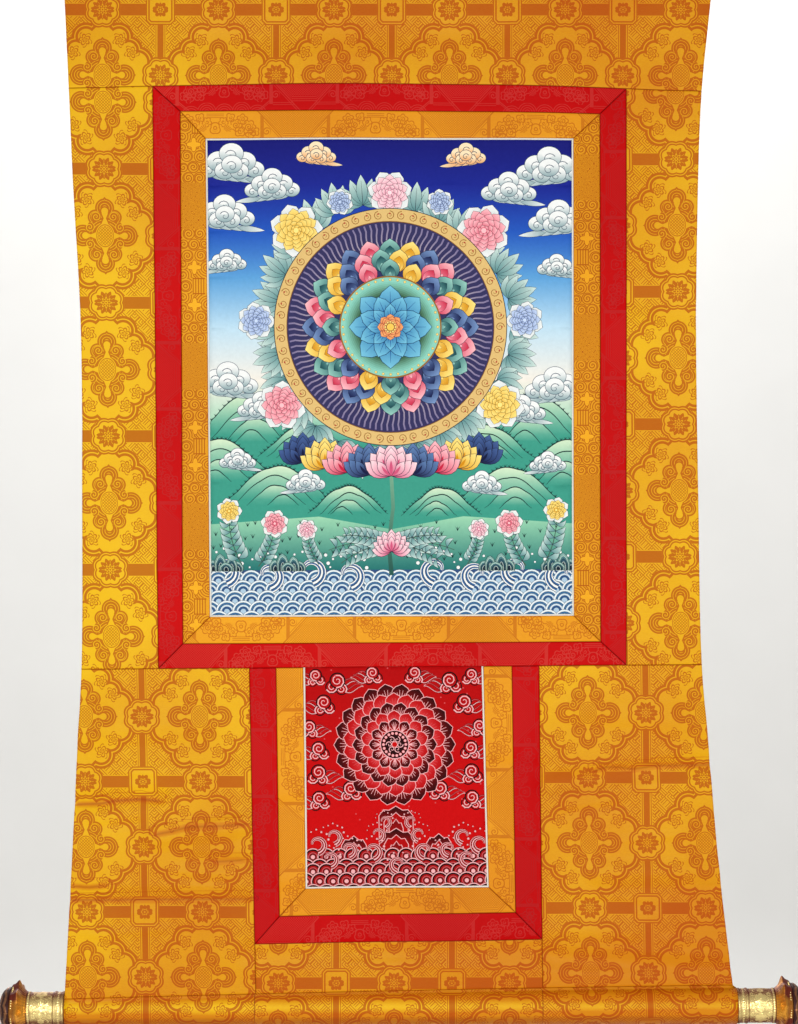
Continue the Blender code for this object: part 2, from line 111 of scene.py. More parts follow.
FINE_CREASES = [
    # start x, start depth, end x, end depth, height, half width
    (-0.330, 0.905, -0.262, 0.898, 0.0010, 0.007), (-0.305, 0.842, -0.210, 0.846, -0.0009, 0.008),
    (-0.240, 0.958, -0.168, 0.963, 0.0010, 0.007), (-0.332, 1.022, -0.232, 1.012, -0.0010, 0.008),
    (-0.210, 0.895, -0.158, 0.886, 0.0009, 0.006), (0.182, 0.890, 0.262, 0.879, 0.0010, 0.007),
    (0.250, 0.917, 0.352, 0.908, -0.0010, 0.008), (0.190, 0.982, 0.300, 0.990, 0.0010, 0.007),
    (0.290, 1.024, 0.368, 1.030, -0.0009, 0.007), (-0.070, 1.050, 0.070, 1.052, -0.0008, 0.007),
    (-0.325, 0.560, -0.270, 0.552, 0.0006, 0.010), (0.270, 0.520, 0.335, 0.528, 0.0006, 0.010),
    (-0.328, 0.250, -0.266, 0.262, 0.0006, 0.010), (0.268, 0.185, 0.330, 0.192, 0.0006, 0.010),
]

PRESSED_CREASES = [
    # points (x, depth), height
    ([(-0.3368, 0.8786), (-0.3130, 0.8779), (-0.2964, 0.8746), (-0.2689, 0.8731), (-0.2469, 0.8753)], 0.0008),
    ([(-0.2506, 0.9104), (-0.2322, 0.9068), (-0.2174, 0.9025), (-0.1808, 0.9012), (-0.1535, 0.8992)], 0.0009),
    ([(-0.3406, 0.9672), (-0.3258, 0.9686), (-0.3074, 0.9664)], 0.0006),
    ([(-0.3423, 0.9828), (-0.2600, 0.9822), (-0.1500, 0.9810)], 0.0009),
    ([(-0.1863, 0.9406), (-0.1570, 0.9388)], 0.0006),
    ([(0.2284, 0.8412), (0.2381, 0.8381), (0.2534, 0.8381), (0.2659, 0.8404), (0.2937, 0.8363),
      (0.3548, 0.8356)],
     0.0009),
]

# Roller and knobs, as in the solids
AXIS_LEFT = Vector((-0.3744, 0.0165, -1.1042))
AXIS_RIGHT = Vector((0.3995, 0.0005, -1.0971))
SLEEVE_RADIUS = 0.0199
SLEEVE_THICK = 0.0017
SLEEVE_LEFT_X = -0.3521
SLEEVE_RIGHT_X = 0.3793
SLEEVE_JOINS = (-0.1444, 0.1684)          # where the three skirt panels' cloth meets on the sleeve
BORE_RADIUS = 0.0160
FERRULE_LENGTH = 0.0410
CROWN_LENGTH = 0.0172
PETALS = 8
BEADS, BEADS_AT, BEAD_RING, BEAD_RADIUS = 56, 0.0150, 0.0246, 0.0011

# Stage and camera
FLOOR_Z = -2.40
BACKDROP_Y = 5.4
CAMERA_PLACE = (0.0125, -2.6, -0.5600)
CAMERA_LENS = 84.0
ROOM_LIGHT = 0.46
LAMPS = [
    # name, place, aim, size, power, colour
    ("key", (-0.45, -2.9, -0.42), (0.0, 0.0, -0.66), 1.1, 45.0, (1.0, 0.985, 0.96)),
    ("fill", (1.2, -2.4, -0.95), (0.0, 0.0, -0.85), 1.2, 14.5, (1.0, 1.0, 1.0)),
    ("backdrop_light", (0.0, 2.6, 2.4), (0.0, 5.4, -0.6), 3.0, 140.0, (1.0, 1.0, 1.0)),
    ("back_fill", (-0.9, 3.0, 0.4), (0.0, 0.0, -0.6), 1.6, 34.0, (1.0, 1.0, 1.0)),
]

# Where the woven repeat lies on each brocade piece
REPEAT_WIDE, REPEAT_HIGH = 0.1258, 0.1430
WEAVE_PLACES = {
    # node: x and depth of a medallion's middle, height of the repeat there, lean
    "header_panel": (-0.0583, 0.0850, 0.1430, 0.0),
    "side_panel_left": (-0.3047, 0.4050, 0.1452, 0.0150),
    "side_panel_right": (0.3161, 0.3924, 0.1442, 0.0095),
    "skirt_panel_left": (-0.2044, 0.7826, 0.1417, 0.0150),
    "skirt_panel_right": (0.2196, 0.9200, 0.1417, 0.0115),
    "skirt_panel_middle": (0.0071, 1.0017, 0.1417, 0.0),
}


sheets = []
pipings = {"painting_canvas": [], "door_panel": []}


def mix(a, b, t):
    return a + (b - a) * t


def smooth(t):
    t = np.clip(t, 0.0, 1.0)
    return t * t * (3.0 - 2.0 * t)


def linear(red, green, blue):
    """A colour as it looks, from 0 to 255, as the numbers that light is worked out in."""
    return tuple((c / 255.0) ** 2.2 for c in (red, green, blue))


class Seam:
    """A sewn line. Its value (x or depth) is a shallow curve of the other measure."""

    def __init__(self, start, end, bow=0.0):
        self.start, self.end, self.bow = start, end, bow

    def at(self, t):
        run = (t - self.start[0]) / (self.end[0] - self.start[0])
        return mix(self.start[1], self.end[1], run) - 4.0 * self.bow * run * (1.0 - run)

    def stretch(self, t):
        step = 0.001
        return np.hypot(1.0, (self.at(t + step) - self.at(t - step)) / (2.0 * step))

    def moved(self, t, distance):
        return self.at(t) + distance * self.stretch(t)

    def away(self, t, value):
        """How far a point lies past the line, measured square to it."""
        return (value - self.at(t)) / self.stretch(t)


class Outline(Seam):
    """One free side edge, a smooth curve through the rows of OUTLINE."""

    def __init__(self, column):
        depths, values = OUTLINE[:, 0], OUTLINE[:, column]
        self.depths, self.values = depths, values
        before, after = np.r_[0, 0:len(depths) - 1], np.r_[1:len(depths), len(depths) - 1]
        self.slopes = (values[after] - values[before]) / (depths[after] - depths[before])

    def at(self, depth):
        depth = np.asarray(depth, float)
        i = np.clip(np.searchsorted(self.depths, depth) - 1, 0, len(self.depths) - 2)
        run = self.depths[i + 1] - self.depths[i]
        t = (depth - self.depths[i]) / run
        inside = np.clip(t, 0.0, 1.0)
        curve = (self.values[i] * (1 + 2 * inside) * (1 - inside) ** 2
                 + self.slopes[i] * run * inside * (1 - inside) ** 2
                 + self.values[i + 1] * inside ** 2 * (3 - 2 * inside)
                 + self.slopes[i + 1] * run * inside ** 2 * (inside - 1))
        before, after = self.slopes[i] * run * np.minimum(t, 0), self.slopes[i + 1] * run * np.maximum(t - 1,
                                                                                                       0)
        return curve + before + after


EDGE_LEFT, EDGE_RIGHT = Outline(1), Outline(2)

# Level seams: (x, depth) at each end, and how far the middle lies above them. Upright ones: (depth, x)
TOP_EDGE = Seam((-0.352, 0.0), (0.352, 0.0))
HEADER_SEAM = Seam((-0.3461, 0.0998), (0.3417, 0.1024), 0.0074)
LOWER_SEAM = Seam((-0.3319, 0.7312), (0.3428, 0.7259))
ROLLER_SEAM = Seam((-0.3517, 1.0900), (0.3780, 1.0747), 0.0015)
RED_LEFT, RED_RIGHT = Seam((0.0967, -0.2555), (0.7306, -0.2496)), Seam((0.0990, 0.2600), (0.7266, 0.2600))
DOOR_LEFT, DOOR_RIGHT = Seam((0.7307, -0.1504), (1.0300, -0.1444)), Seam((0.7273, 0.1649), (1.0252, 0.1684))
DOOR_FOOT = Seam((-0.1444, 1.0300), (0.1684, 1.0252))

# The frames around the painting and around the door under it: left, right, top and bottom
RED_FRAME = (RED_LEFT, RED_RIGHT, HEADER_SEAM, LOWER_SEAM)
GOLD_FRAME = (Seam((0.1240, -0.2255), (0.7034, -0.2227)), Seam((0.1267, 0.2311), (0.7010, 0.2320)),
              Seam((-0.2255, 0.1240), (0.2311, 0.1267), 0.0020), Seam((-0.2227, 0.7034), (0.2320, 0.7010)))
PICTURE_FRAME = (Seam((0.1531, -0.1985), (0.6747, -0.1938)), Seam((0.1531, 0.2027), (0.6733, 0.2033)),
                 Seam((-0.1985, 0.1531), (0.2027, 0.1531), 0.0008), Seam((-0.1938, 0.6747), (0.2033, 0.6733)))
DOOR_RED_FRAME = (DOOR_LEFT, DOOR_RIGHT, LOWER_SEAM, DOOR_FOOT)
DOOR_GOLD_FRAME = (Seam((0.7305, -0.1212), (0.9995, -0.1174)), Seam((0.7275, 0.1352), (0.9955, 0.1393)),
                   LOWER_SEAM, Seam((-0.1174, 0.9995), (0.1393, 0.9955)))
DOOR_PANEL_FRAME = (Seam((0.7303, -0.0921), (0.9700, -0.0895)), Seam((0.7278, 0.1046), (0.9685, 0.1106)),
                    LOWER_SEAM, Seam((-0.0895, 0.9700), (0.1106, 0.9685)))
PUCKERED_SEAMS = [
    # seam, whether upright, height, pitch, drift of the pitch, reach
    (HEADER_SEAM, False, 0.00016, 0.019, 5.3, 0.010), (LOWER_SEAM, False, 0.00022, 0.023, 5.3, 0.012),
    (ROLLER_SEAM, False, 0.00035, 0.017, 5.3, 0.012), (RED_LEFT, True, 0.00014, 0.021, 4.7, 0.009),
    (RED_RIGHT, True, 0.00014, 0.024, 4.7, 0.009), (EDGE_LEFT, True, 0.00022, 0.031, 4.7, 0.010),
    (EDGE_RIGHT, True, 0.00022, 0.028, 4.7, 0.010),
]


def beside(x, depth, x0, d0, x1, d1):
    """For a straight crease: the share of its run that lies nearest, and how far away that is."""
    along = ((x - x0) * (x1 - x0) + (depth - d0) * (d1 - d0)) / ((x1 - x0) ** 2 + (d1 - d0) ** 2)
    along = np.clip(along, 0.0, 1.0)
    return along, np.hypot(x - mix(x0, x1, along), depth - mix(d0, d1, along))


def hump(away, half):
    return np.clip(1.0 - (away / half) ** 2, 0.0, None) ** 2


def fold(x, depth):
    """How far the middle of the cloth lies behind the plane y = 0, as in the solids."""
    above_roller = ROLLER_SEAM.end[1] - depth
    calm = smooth(depth / CALM_TOP) * smooth(above_roller / CALM_BOTTOM)
    waves = sum(height * np.sin(TURN * (across * x + down * depth + start))
                for height, across, down, start in WAVES)
    free = np.minimum(x - EDGE_LEFT.at(depth), EDGE_RIGHT.at(depth) - x)
    curl = np.sin(TURN * (EDGE_CURLS_DOWN * depth + EDGE_CURL_START))
    curl = curl * EDGE_CURL * (1.0 - smooth(free / EDGE_CURL_WIDTH))
    creased = sum(height * hump(beside(x, depth, *ends)[1], half) for *ends, height, half in CREASES)
    return calm * (waves - curl) + creased * smooth(above_roller / CREASE_END)


def corner(upright, level):
    x = upright.at(level.start[1])
    for _ in range(8):
        depth = level.at(x)
        x = upright.at(depth)
    return float(depth), float(x)


def mitres(outer, inner):
    (d0, x0), (d1, x1) = outer, inner
    return Seam((d0, x0), (d1, x1)), Seam((x0, d0), (x1, d1))


def place(sides, levels, across, down, inset=-SEAM_OVERLAP):
    """The (x, depth) of points of a piece, given as shares of its width and height."""
    left, right = sides
    top, bottom = levels
    x, depth = np.zeros_like(across), np.full_like(down, 0.5)
    for _ in range(14):
        x = mix(left.moved(depth, inset), right.moved(depth, -inset), across)
        depth = mix(top.moved(x, inset), bottom.moved(x, -inset), down)
    return x, depth


# Shader nodes written as sums


class Field:
    """A number that varies over a surface, worked out by shader nodes."""

    def __init__(self, tree, socket):
        self.tree, self.socket = tree, socket

    def node(self, operation, *others, clamp=False):
        made = self.tree.nodes.new("ShaderNodeMath")
        made.operation, made.use_clamp, made.hide = operation, clamp, True
        for slot, item in zip(made.inputs, (self, *others)):
            self.feed(slot, item)
        return Field(self.tree, made.outputs[0])

    def feed(self, slot, item):
        if isinstance(item, Field):
            self.tree.links.new(item.socket, slot)
        else:
            slot.default_value = item

    def __add__(self, other):
        return self.node("ADD", other)

    def __sub__(self, other):
        return self.node("SUBTRACT", other)

    def __mul__(self, other):
        return self.node("MULTIPLY", other)

    def __neg__(self):
        return self * -1.0

    def __abs__(self):
        return self.node("ABSOLUTE")

    def each(self, operation, others):
        result = self
        for other in others:
            result = result.node(operation, other)
        return result

    def least(self, *others):
        return self.each("MINIMUM", others)

    def most(self, *others):
        return self.each("MAXIMUM", others)

    def wrap(self, period):
        """The distance from the nearest whole multiple of the period, with its sign."""
        return self.node("WRAP", period / 2.0, -period / 2.0)

    def sine(self, scale=1.0, shift=0.0):
        return self.node("MULTIPLY_ADD", scale, shift).node("SINE")

    def below(self, limit, soft=0.2):
        """1 where the value is under the limit and 0 above it, with a soft step between."""
        return self.node("MULTIPLY_ADD", -1.0 / soft, limit / soft + 0.5, clamp=True)

    def between(self, low, high, soft=0.2):
        return abs(self - (low + high) / 2.0).below((high - low) / 2.0, soft)

    def over(self, top, mask):
        """This value, or the top one where the mask is 1."""
        made = self.tree.nodes.new("ShaderNodeMix")
        made.hide = True
        for slot, item in ((made.inputs[0], mask), (made.inputs[2], self), (made.inputs[3], top)):
            self.feed(slot, item)
        return Field(self.tree, made.outputs[0])


def length(x, y):
    return (x * x + y * y).node("SQRT")


def angle(x, y):
    return y.node("ARCTAN2", x)


def discs(x, y, *circles):
    """The distance outside the nearest of some circles, each given as x, y and radius."""
    first, *others = [length(x - centre_x, y - centre_y) - radius for centre_x, centre_y, radius in circles]
    return first.least(*others)


def coil(radius, dx, dy, tight, start=0.0, way=1.0):
    """The saw-tooth of a spiral, from 0 to 1."""
    return (radius * tight + angle(dx, dy) * (way / TURN) + start).node("FRACT")


def brocade_figure(across, down):
    """1 on the orange figure of the brocade and 0 on its yellow ground. Sizes are in mm."""
    wide, high = REPEAT_WIDE / MM, REPEAT_HIGH / MM
    x, y = abs(across.wrap(wide)), abs(down.wrap(high))
    half_x, half_y = -x + wide / 2.0, -y + high / 2.0

    # the large medallion with eight lobes
    medallion = discs(x, y, (38.5, 14.5, 17.0), (28.5, 27.5, 15.2), (17.8, 41.8, 15.6))
    medallion = medallion.least((x + y - 69.0) * SLANT)
    ground = medallion.between(-6.9, -4.1).most(medallion.between(-2.8, 0.3))

    # sprigs of five petals in the medallion's ground
    for centre_x, centre_y in ((31.9, 24.6), (19.2, 38.4)):
        dx, dy = x - centre_x, y - centre_y
        radius, turn = length(dx, dy), angle(dx, dy)
        bloom = radius - abs(turn.sine(2.5, 0.9 + centre_x)) * 3.0
        sprig = bloom.between(2.2, 3.7).most((radius - turn.sine(5.0, 0.7) * 0.9).between(1.2, 2.5))
        curls = abs(radius - turn.sine(5.0, 1.9 + 2.0 * centre_x) * 1.5 - 6.9).below(0.5)
        ground = ground.most(sprig, curls * turn.sine(5.0, 0.4).below(0.1))

    # the four-lobed figure in the middle, with drops and scrolls
    figure = discs(x, y, (0.0, 29.6, 10.2), (10.0, 19.6, 8.3), (23.6, 0.0, 11.6), (0.0, 0.0, 22.0))
    figure = figure.least((-y + 33.0).most((y + x * 1.15 - 41.6) * 0.66),
                          (-x + 28.0).most((x + y * 1.15 - 36.6) * 0.66))
    inner = figure.between(-2.4, -1.8).most(figure.between(-5.5, -4.8), figure.between(-8.3, -7.5))
    for centre_x, centre_y, start in ((9.3, 20.2, 0.2), (16.4, 9.0, -0.1)):
        dx, dy = x - centre_x, y - centre_y
        radius = length(dx, dy)
        inner = inner.over(coil(radius, dx, dy, 0.36, start).between(0.0, 0.32, 0.1), radius.below(5.4))
    drops = discs(x, y, (0.0, 26.4, 3.7), (21.0, 0.0, 3.6))
    drops = drops.least((x + abs(y - 18.6) * -0.42 - 1.2).most(abs(y - 17.0) - 7.0),
                        (y + abs(x - 15.4) * -0.42 - 1.2).most(abs(x - 13.0) - 6.0))
    inner = inner.over(0.0, drops.below(1.5)).over(1.0, drops.below(0.0))
    roundel = length(x * 1.31, y)
    lattice = abs((x + y).sine(TURN / 6.4)).least(abs((x - y).sine(TURN / 6.4)))
    lattice = (-lattice + 1.0).below(0.6, 0.3)
    inner = inner.over(1.0, roundel.below(13.4)).over(lattice, roundel.below(10.4))
    inner = inner.over(0.0, roundel.between(11.2, 12.2))
    ground = ground.over(-inner + 1.0, figure.below(0.0))

    # key fret between the medallions, cut by bars that join the squares
    a, b = (across + down) * SLANT, (across - down) * SLANT
    tile, thread = 14.4, 1.2
    pick = ((a * (1.0 / tile)).node("FLOOR") + (b * (1.0 / tile)).node("FLOOR")).node("PINGPONG", 1.0)
    ta, tb = a.wrap(tile), b.wrap(tile)
    hook = ta.most(-tb).over((-ta).most(-tb), pick)
    fret = (hook + 0.4).node("PINGPONG", thread).below(0.44, 0.3)
    fret = fret.over(half_x.below(3.3).most(half_x.between(4.4, 5.3)), half_x.below(6.1))
    fret = fret.over(1.0, half_y.below(6.5)).over(0.0, half_y.between(6.5, 7.3))
    pattern = fret.over(ground, medallion.below(0.0))

    # rosettes where medallions meet
    side, above = length(half_x, y), length(x, half_y)
    nearest = side.least(above)
    turn = angle(half_x, y).over(angle(x, half_y), (above - side).below(0.0, 0.01))
    edge = nearest - abs(turn.sine(4.0)) * 2.0 - 18.4
    petals = nearest - turn.sine(12.0) * 1.5 - 11.3
    heart = nearest - turn.sine(8.0, 1.5) * 1.3
    veins = abs(turn.sine(6.0)).below(0.16, 0.1) * nearest.between(6.3, 9.4)
    rosette = edge.between(-1.6, 0.3).most(edge.between(-4.3, -2.7), petals.below(0.0))
    rosette = rosette.over(0.0, heart.between(3.6, 5.0).most(nearest.between(1.0, 2.0), veins))
    pattern = pattern.over(rosette, edge.below(0.3))

    # cut-cornered squares
    square = (half_x - 15.6).most(half_y - 16.4, (half_x + half_y - 27.6) * SLANT)
    radius, turn = length(half_x, half_y), angle(half_x, half_y)
    blossom_edge = radius - abs(turn.sine(4.0, 0.785)) * 2.4 - 6.2
    cell = square.between(-1.1, 0.3).most(square.between(-4.0, -2.4), blossom_edge.below(0.0))
    cell = cell.over(0.0, (radius - turn.sine(8.0) * 0.7).between(2.6, 3.5).most(radius.below(0.9)))
    return pattern.over(cell, square.below(0.3))


BORDER_REPEAT = 174.4
BORDER_MIRROR = 12.0
SPRAY = [
    # place along and across, size, turn, petals
    (0.0, 8.0, 3.8, 0.5, 1.5), (9.0, 1.0, 2.8, 0.1, 2.5), (22.5, 4.6, 4.4, 0.6, 2.5),
    (27.0, 11.6, 3.4, 0.9, 2.0), (29.5, -1.6, 3.4, 0.3, 2.5), (36.5, 6.8, 5.2, 0.2, 3.0),
    (38.5, 14.6, 3.0, 0.7, 2.0), (16.5, -3.6, 2.6, 0.4, 2.0), (43.5, 12.0, 2.4, 0.0, 2.0),
]


def border_figure(along, across):
    """1 on the raised lines of the border brocade: sprays in long cartouches, and lattices between."""
    s, t = abs(along.wrap(BORDER_REPEAT)), abs(across + BORDER_MIRROR) - BORDER_MIRROR
    u = -s + BORDER_REPEAT / 2.0

    # the spray of scrolls, fans and flowers
    lines = (t.wrap(1.9).between(-0.4, 0.4) * t.between(-8.4, -2.6)) * s.below(9.5)
    for centre_s, centre_t, size, start, petals in SPRAY:
        ds, dt = s - centre_s, t - centre_t
        radius, turn = length(ds, dt), angle(ds, dt)
        scroll = (radius * 0.44 + turn * (1.0 / TURN) + start).node("FRACT").below(0.5)
        rim = (radius - abs(turn.sine(petals, start * 7.0)) * 1.9).between(size, size + 1.2)
        lines = lines.most(scroll * radius.below(size - 0.4), rim)
    fans = angle(s - 8.5, t - 13.5).sine(30.0).below(0.1, 0.5) * length(s - 8.5, t - 13.5).between(4.0, 10.5)
    lines = lines.over(fans, s.between(9.5, 17.0) * t.between(3.6, 11.6))
    waves = length(s, t - 31.0).least(length(s - 19.0, t - 29.5), length(s - 36.0, t - 33.0))
    waves = waves.wrap(2.5).between(-0.42, 0.42) * waves.below(10.5)
    lines = lines.over(waves, -t.below(19.5, 0.4) + 1.0)
    bevel = (s - 51.0 + (t - 17.0) * 1.2) * 0.64
    lines = lines.most((bevel.between(-0.5, 0.5).most(bevel.between(1.2, 1.9))) * t.between(16.5, 28.5))

    # the lattice between slanting double bands, with coils in the corners it leaves
    slant = (u + t * 0.92 - 31.5) * 0.736
    net = abs((s + t).sine(TURN / 5.2)).least(abs((s - t).sine(TURN / 5.2))).below(0.36, 0.3)
    net = net.most(abs((s + t + 2.6).sine(TURN / 5.2)).below(0.2, 0.3))
    flat = (slant * 1.36 + 5.0).most(t - 14.5)
    net = net.over(0.0, flat.between(-1.2, 2.6))
    net = net.over(1.0, flat.between(-0.5, 0.3).most(flat.between(1.6, 2.3)))
    net = net.over(t.between(18.6, 19.4), -t.below(17.5) + 1.0)
    du, dt = u - 31.0, t - 12.0
    radius = length(du, dt)
    outside = (coil(radius, du, dt, 0.36).below(0.42) * radius.below(4.6)).most(
        t.between(20.3, 21.0), t.between(22.4, 23.1), slant.between(1.8, 2.5))
    net = outside.over(net, slant.below(0.0)).over(1.0, slant.between(-0.4, 0.5))
    bars = s.between(49.2, 53.0) * t.below(22.0)
    return lines.over(net, u.below(34.2)).over(0.85, bars).over(net, slant.below(0.6))


SCROLLS = [
    # place along and across, size, start, way
    (33.0, 7.0, 6.0, 0.1, 1.0), (33.5, 21.5, 6.4, 0.6, -1.0), (45.5, 3.0, 4.6, 0.4, 1.0),
    (45.0, 14.0, 6.0, 0.0, -1.0), (46.0, 25.5, 5.0, 0.3, 1.0), (57.0, 8.5, 6.0, 0.7, 1.0),
    (57.0, 20.5, 6.0, 0.2, -1.0), (0.0, 5.2, 6.0, 0.5, 1.0), (12.0, 2.0, 3.6, 0.2, -1.0),
    (24.0, 2.0, 3.4, 0.8, 1.0), (20.5, 28.5, 7.0, 0.0, 1.0),
]


def scroll_figure(along, across):
    """1 on the raised lines of the gold weave in the upright strips: big scrolls, bars and close curls."""
    s = abs(along.wrap(BORDER_REPEAT))
    waves = (along * 0.66 + across.sine(0.5) * 1.2).sine() + (across * 0.74 + along.sine(0.46) * 1.2).sine()
    close = (waves * 2.3).wrap(0.9).between(-0.2, 0.2, 0.15)
    rims, coils = [], []
    for centre_s, centre_t, size, start, way in SCROLLS:
        ds, dt = s - centre_s, across - centre_t
        radius = length(ds, dt)
        coils.append(coil(radius, ds, dt, 0.36, start, way).below(0.42, 0.25) * radius.below(size - 0.7))
        rims.append(radius - size)
    near = rims[0].least(*rims[1:])
    lines = near.wrap(2.7).between(-0.45, 0.5).over(coils[0].most(*coils[1:]), near.below(-0.6))
    bars = (across - 13.0).wrap(2.9).between(-0.5, 0.5).most(s.between(7.6, 8.8)) * across.between(12.4, 26.0)
    lines = lines.over(bars, s.below(9.2) * (-across.below(12.0, 0.3) + 1.0))
    ds, dt = s - 20.5, across - 14.5
    star = length(ds, dt) - angle(ds, dt).sine(4.0, 1.57) * 1.9 - 5.0
    lines = lines.over(close, -s.below(62.0) + 1.0).over(0.0, star.below(0.6)).most(star.between(0.6, 1.5))
    return lines.most(star.below(0.6) * -0.26 + 0.26)


# Shapes


def add_piece(name, points, faces, finishes, front_faces=None, coords=None):
    """A new object from points and faces. Faces past the front ones take the second finish."""
    mesh = bpy.data.meshes.new(name)
    mesh.from_pydata(points, [], faces)
    for finish in finishes:
        mesh.materials.append(finish)
    if front_faces is not None:
        index = (np.arange(len(mesh.polygons)) >= front_faces).astype(np.int32)
        mesh.polygons.foreach_set("material_index", index)
    if coords is not None:
        corners = np.empty(len(mesh.loops), np.int32)
        mesh.loops.foreach_get("vertex_index", corners)
        layer = mesh.uv_layers.new(name="Pattern")
        layer.data.foreach_set("uv", coords[corners].astype(np.float32).ravel())
    mesh.shade_smooth()
    mesh.update()
    obj = bpy.data.objects.new(name, mesh)
    bpy.context.scene.collection.objects.link(obj)
    return obj


def grid_faces(rows, columns, first=0, flip=False):
    """The four-sided faces of a grid of points that is stored row by row."""
    row, column = np.mgrid[0:rows - 1, 0:columns - 1]
    a = (first + row * columns + column).ravel()
    quad = np.stack([a, a + columns, a + columns + 1, a + 1], 1)
    return quad[:, ::-1] if flip else quad


def closed_sheet(name, front, back, finishes, coords=None):
    """A thin closed sheet from two grids of points, (rows, columns, 3). The front faces -Y."""
    rows, columns = front.shape[:2]
    count = rows * columns
    rim = np.r_[np.arange(columns), (np.arange(1, rows) + 1) * columns - 1,
                count - 2 - np.arange(columns - 1), columns * np.arange(rows - 2, 0, -1)]
    after = np.roll(rim, -1)
    walls = np.stack([rim, after, after + count, rim + count], 1)
    fore = grid_faces(rows, columns)
    faces = np.vstack([fore, grid_faces(rows, columns, count, True), walls])
    points = np.vstack([front.reshape(-1, 3), back.reshape(-1, 3)])
    both = None if coords is None else np.vstack([coords, coords])
    return add_piece(name, points, faces, finishes, len(fore), both)


def stations(size, step):
    """Shares of a length, close together at both ends where the cloth rolls into its seams."""
    ends = np.array(SEAM_STATIONS) / size
    middle = np.linspace(ends[-1], 1.0 - ends[-1], max(2, round(size / step)) + 1)
    return np.r_[ends[:-1], middle, 1.0 - ends[:-1][::-1]]


def fine_folds(x, depth):
    """The small creases and puckers that lie on the main folds."""
    height = 0.0
    for *ends, rise, half in FINE_CREASES:
        along, away = beside(x, depth, *ends)
        height = height + rise * smooth(np.minimum(along, 1.0 - along) * 5.0 + 0.15) * hump(away, half)
    for seam, upright, rise, pitch, drift, reach in PUCKERED_SEAMS:
        along, across = (depth, x) if upright else (x, depth)
        ripple = np.sin(TURN * along / pitch + 2.4 * np.sin(TURN * along / (drift * pitch)))
        height = height + rise * ripple * np.exp(-np.abs(across - seam.at(along)) / reach)
    return height


def crease_runs(x, depth, points):
    """For each straight run of a pressed crease: how far a point lies below it, and how far from it."""
    for (x0, d0), (x1, d1) in zip(points, points[1:]):
        run = math.hypot(x1 - x0, d1 - d0)
        along = ((x - x0) * (x1 - x0) + (depth - d0) * (d1 - d0)) / run ** 2
        below = ((depth - d0) * (x1 - x0) - (x - x0) * (d1 - d0)) / run
        yield below, np.hypot(below, np.maximum(np.abs(along - 0.5) - 0.5, 0.0) * run)


def pressed_line(x, depth):
    """The signed distance in mm from the nearest pressed crease, which is 9 or more far from all."""
    nearest = np.full(np.shape(x), 0.009)
    for points, _ in PRESSED_CREASES:
        for below, away in crease_runs(x, depth, points):
            away = away * np.where(below < 0, -1.0, 1.0)
            nearest = np.where(np.abs(away) < np.abs(nearest), away, nearest)
    return nearest / MM


def pressed_height(x, depth):
    """Pressed creases: a sharp dip, with the cloth below it a little prouder than above."""
    height = 0.0
    for points, rise in PRESSED_CREASES:
        best, side = np.full(np.shape(x), 1.0), np.zeros(np.shape(x))
        for below, away in crease_runs(x, depth, points):
            closer = away < best
            best, side = np.where(closer, away, best), np.where(closer, below, side)
        dip = np.exp(-(best / DIP_WIDTH) ** 2)
        height = height + rise * (0.8 * dip - 0.6 * (side > 0) * np.exp(-best / 0.009) * (1.0 - dip))
    return height


def sewn_distance(sides, levels, x, depth):
    """The distance in mm from the nearest sewn edge. Free edges don't count."""
    away = [np.full(np.shape(x), 0.02)]
    for edge, inside, along, value in ((sides[0], 1.0, depth, x), (sides[1], -1.0, depth, x),
                                       (levels[0], 1.0, x, depth), (levels[1], -1.0, x, depth)):
        if not isinstance(edge, Outline) and edge is not TOP_EDGE:
            away.append(inside * edge.away(along, value))
    return np.minimum.reduce(away) / MM


def add_values(obj, name, values):
    """A number at each point, which a finish reads by its name. The back takes the front's."""
    layer = obj.data.attributes.new(name, "FLOAT", "POINT")
    layer.data.foreach_set("value", np.resize(values, len(obj.data.vertices)).astype(np.float32))


def surface(x, depth):
    """The middle of the cloth behind y = 0, with its fine folds."""
    calm = smooth(depth / CALM_TOP) * smooth((ROLLER_SEAM.end[1] - depth) / CREASE_END)
    return fold(x, depth) + calm * (fine_folds(x, depth) + pressed_height(x, depth))


def seam_roll(sides, levels, x, depth):
    """How far a face of the cloth sinks where it turns into a seam or over a hem, as a share."""
    away = np.minimum.reduce([
        sides[0].away(depth, x), -sides[1].away(depth, x),
        levels[0].away(x, depth), -levels[1].away(x, depth)])
    return np.clip(1.0 - np.clip(away, 0.0, None) / ROLL_WIDTH, 0.0, 1.0) ** 2


def extent(sides, levels):
    """The width and height of a piece through its middle."""
    x, depth = place(sides, levels, np.array([0.0, 1.0, 0.5, 0.5]), np.array([0.5, 0.5, 0.0, 1.0]))
    return x[1] - x[0], depth[3] - depth[2]


def dress(obj, node):
    """Puts a finished piece in the place of its solid."""
    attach(obj, "root")
    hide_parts(node)
    return obj


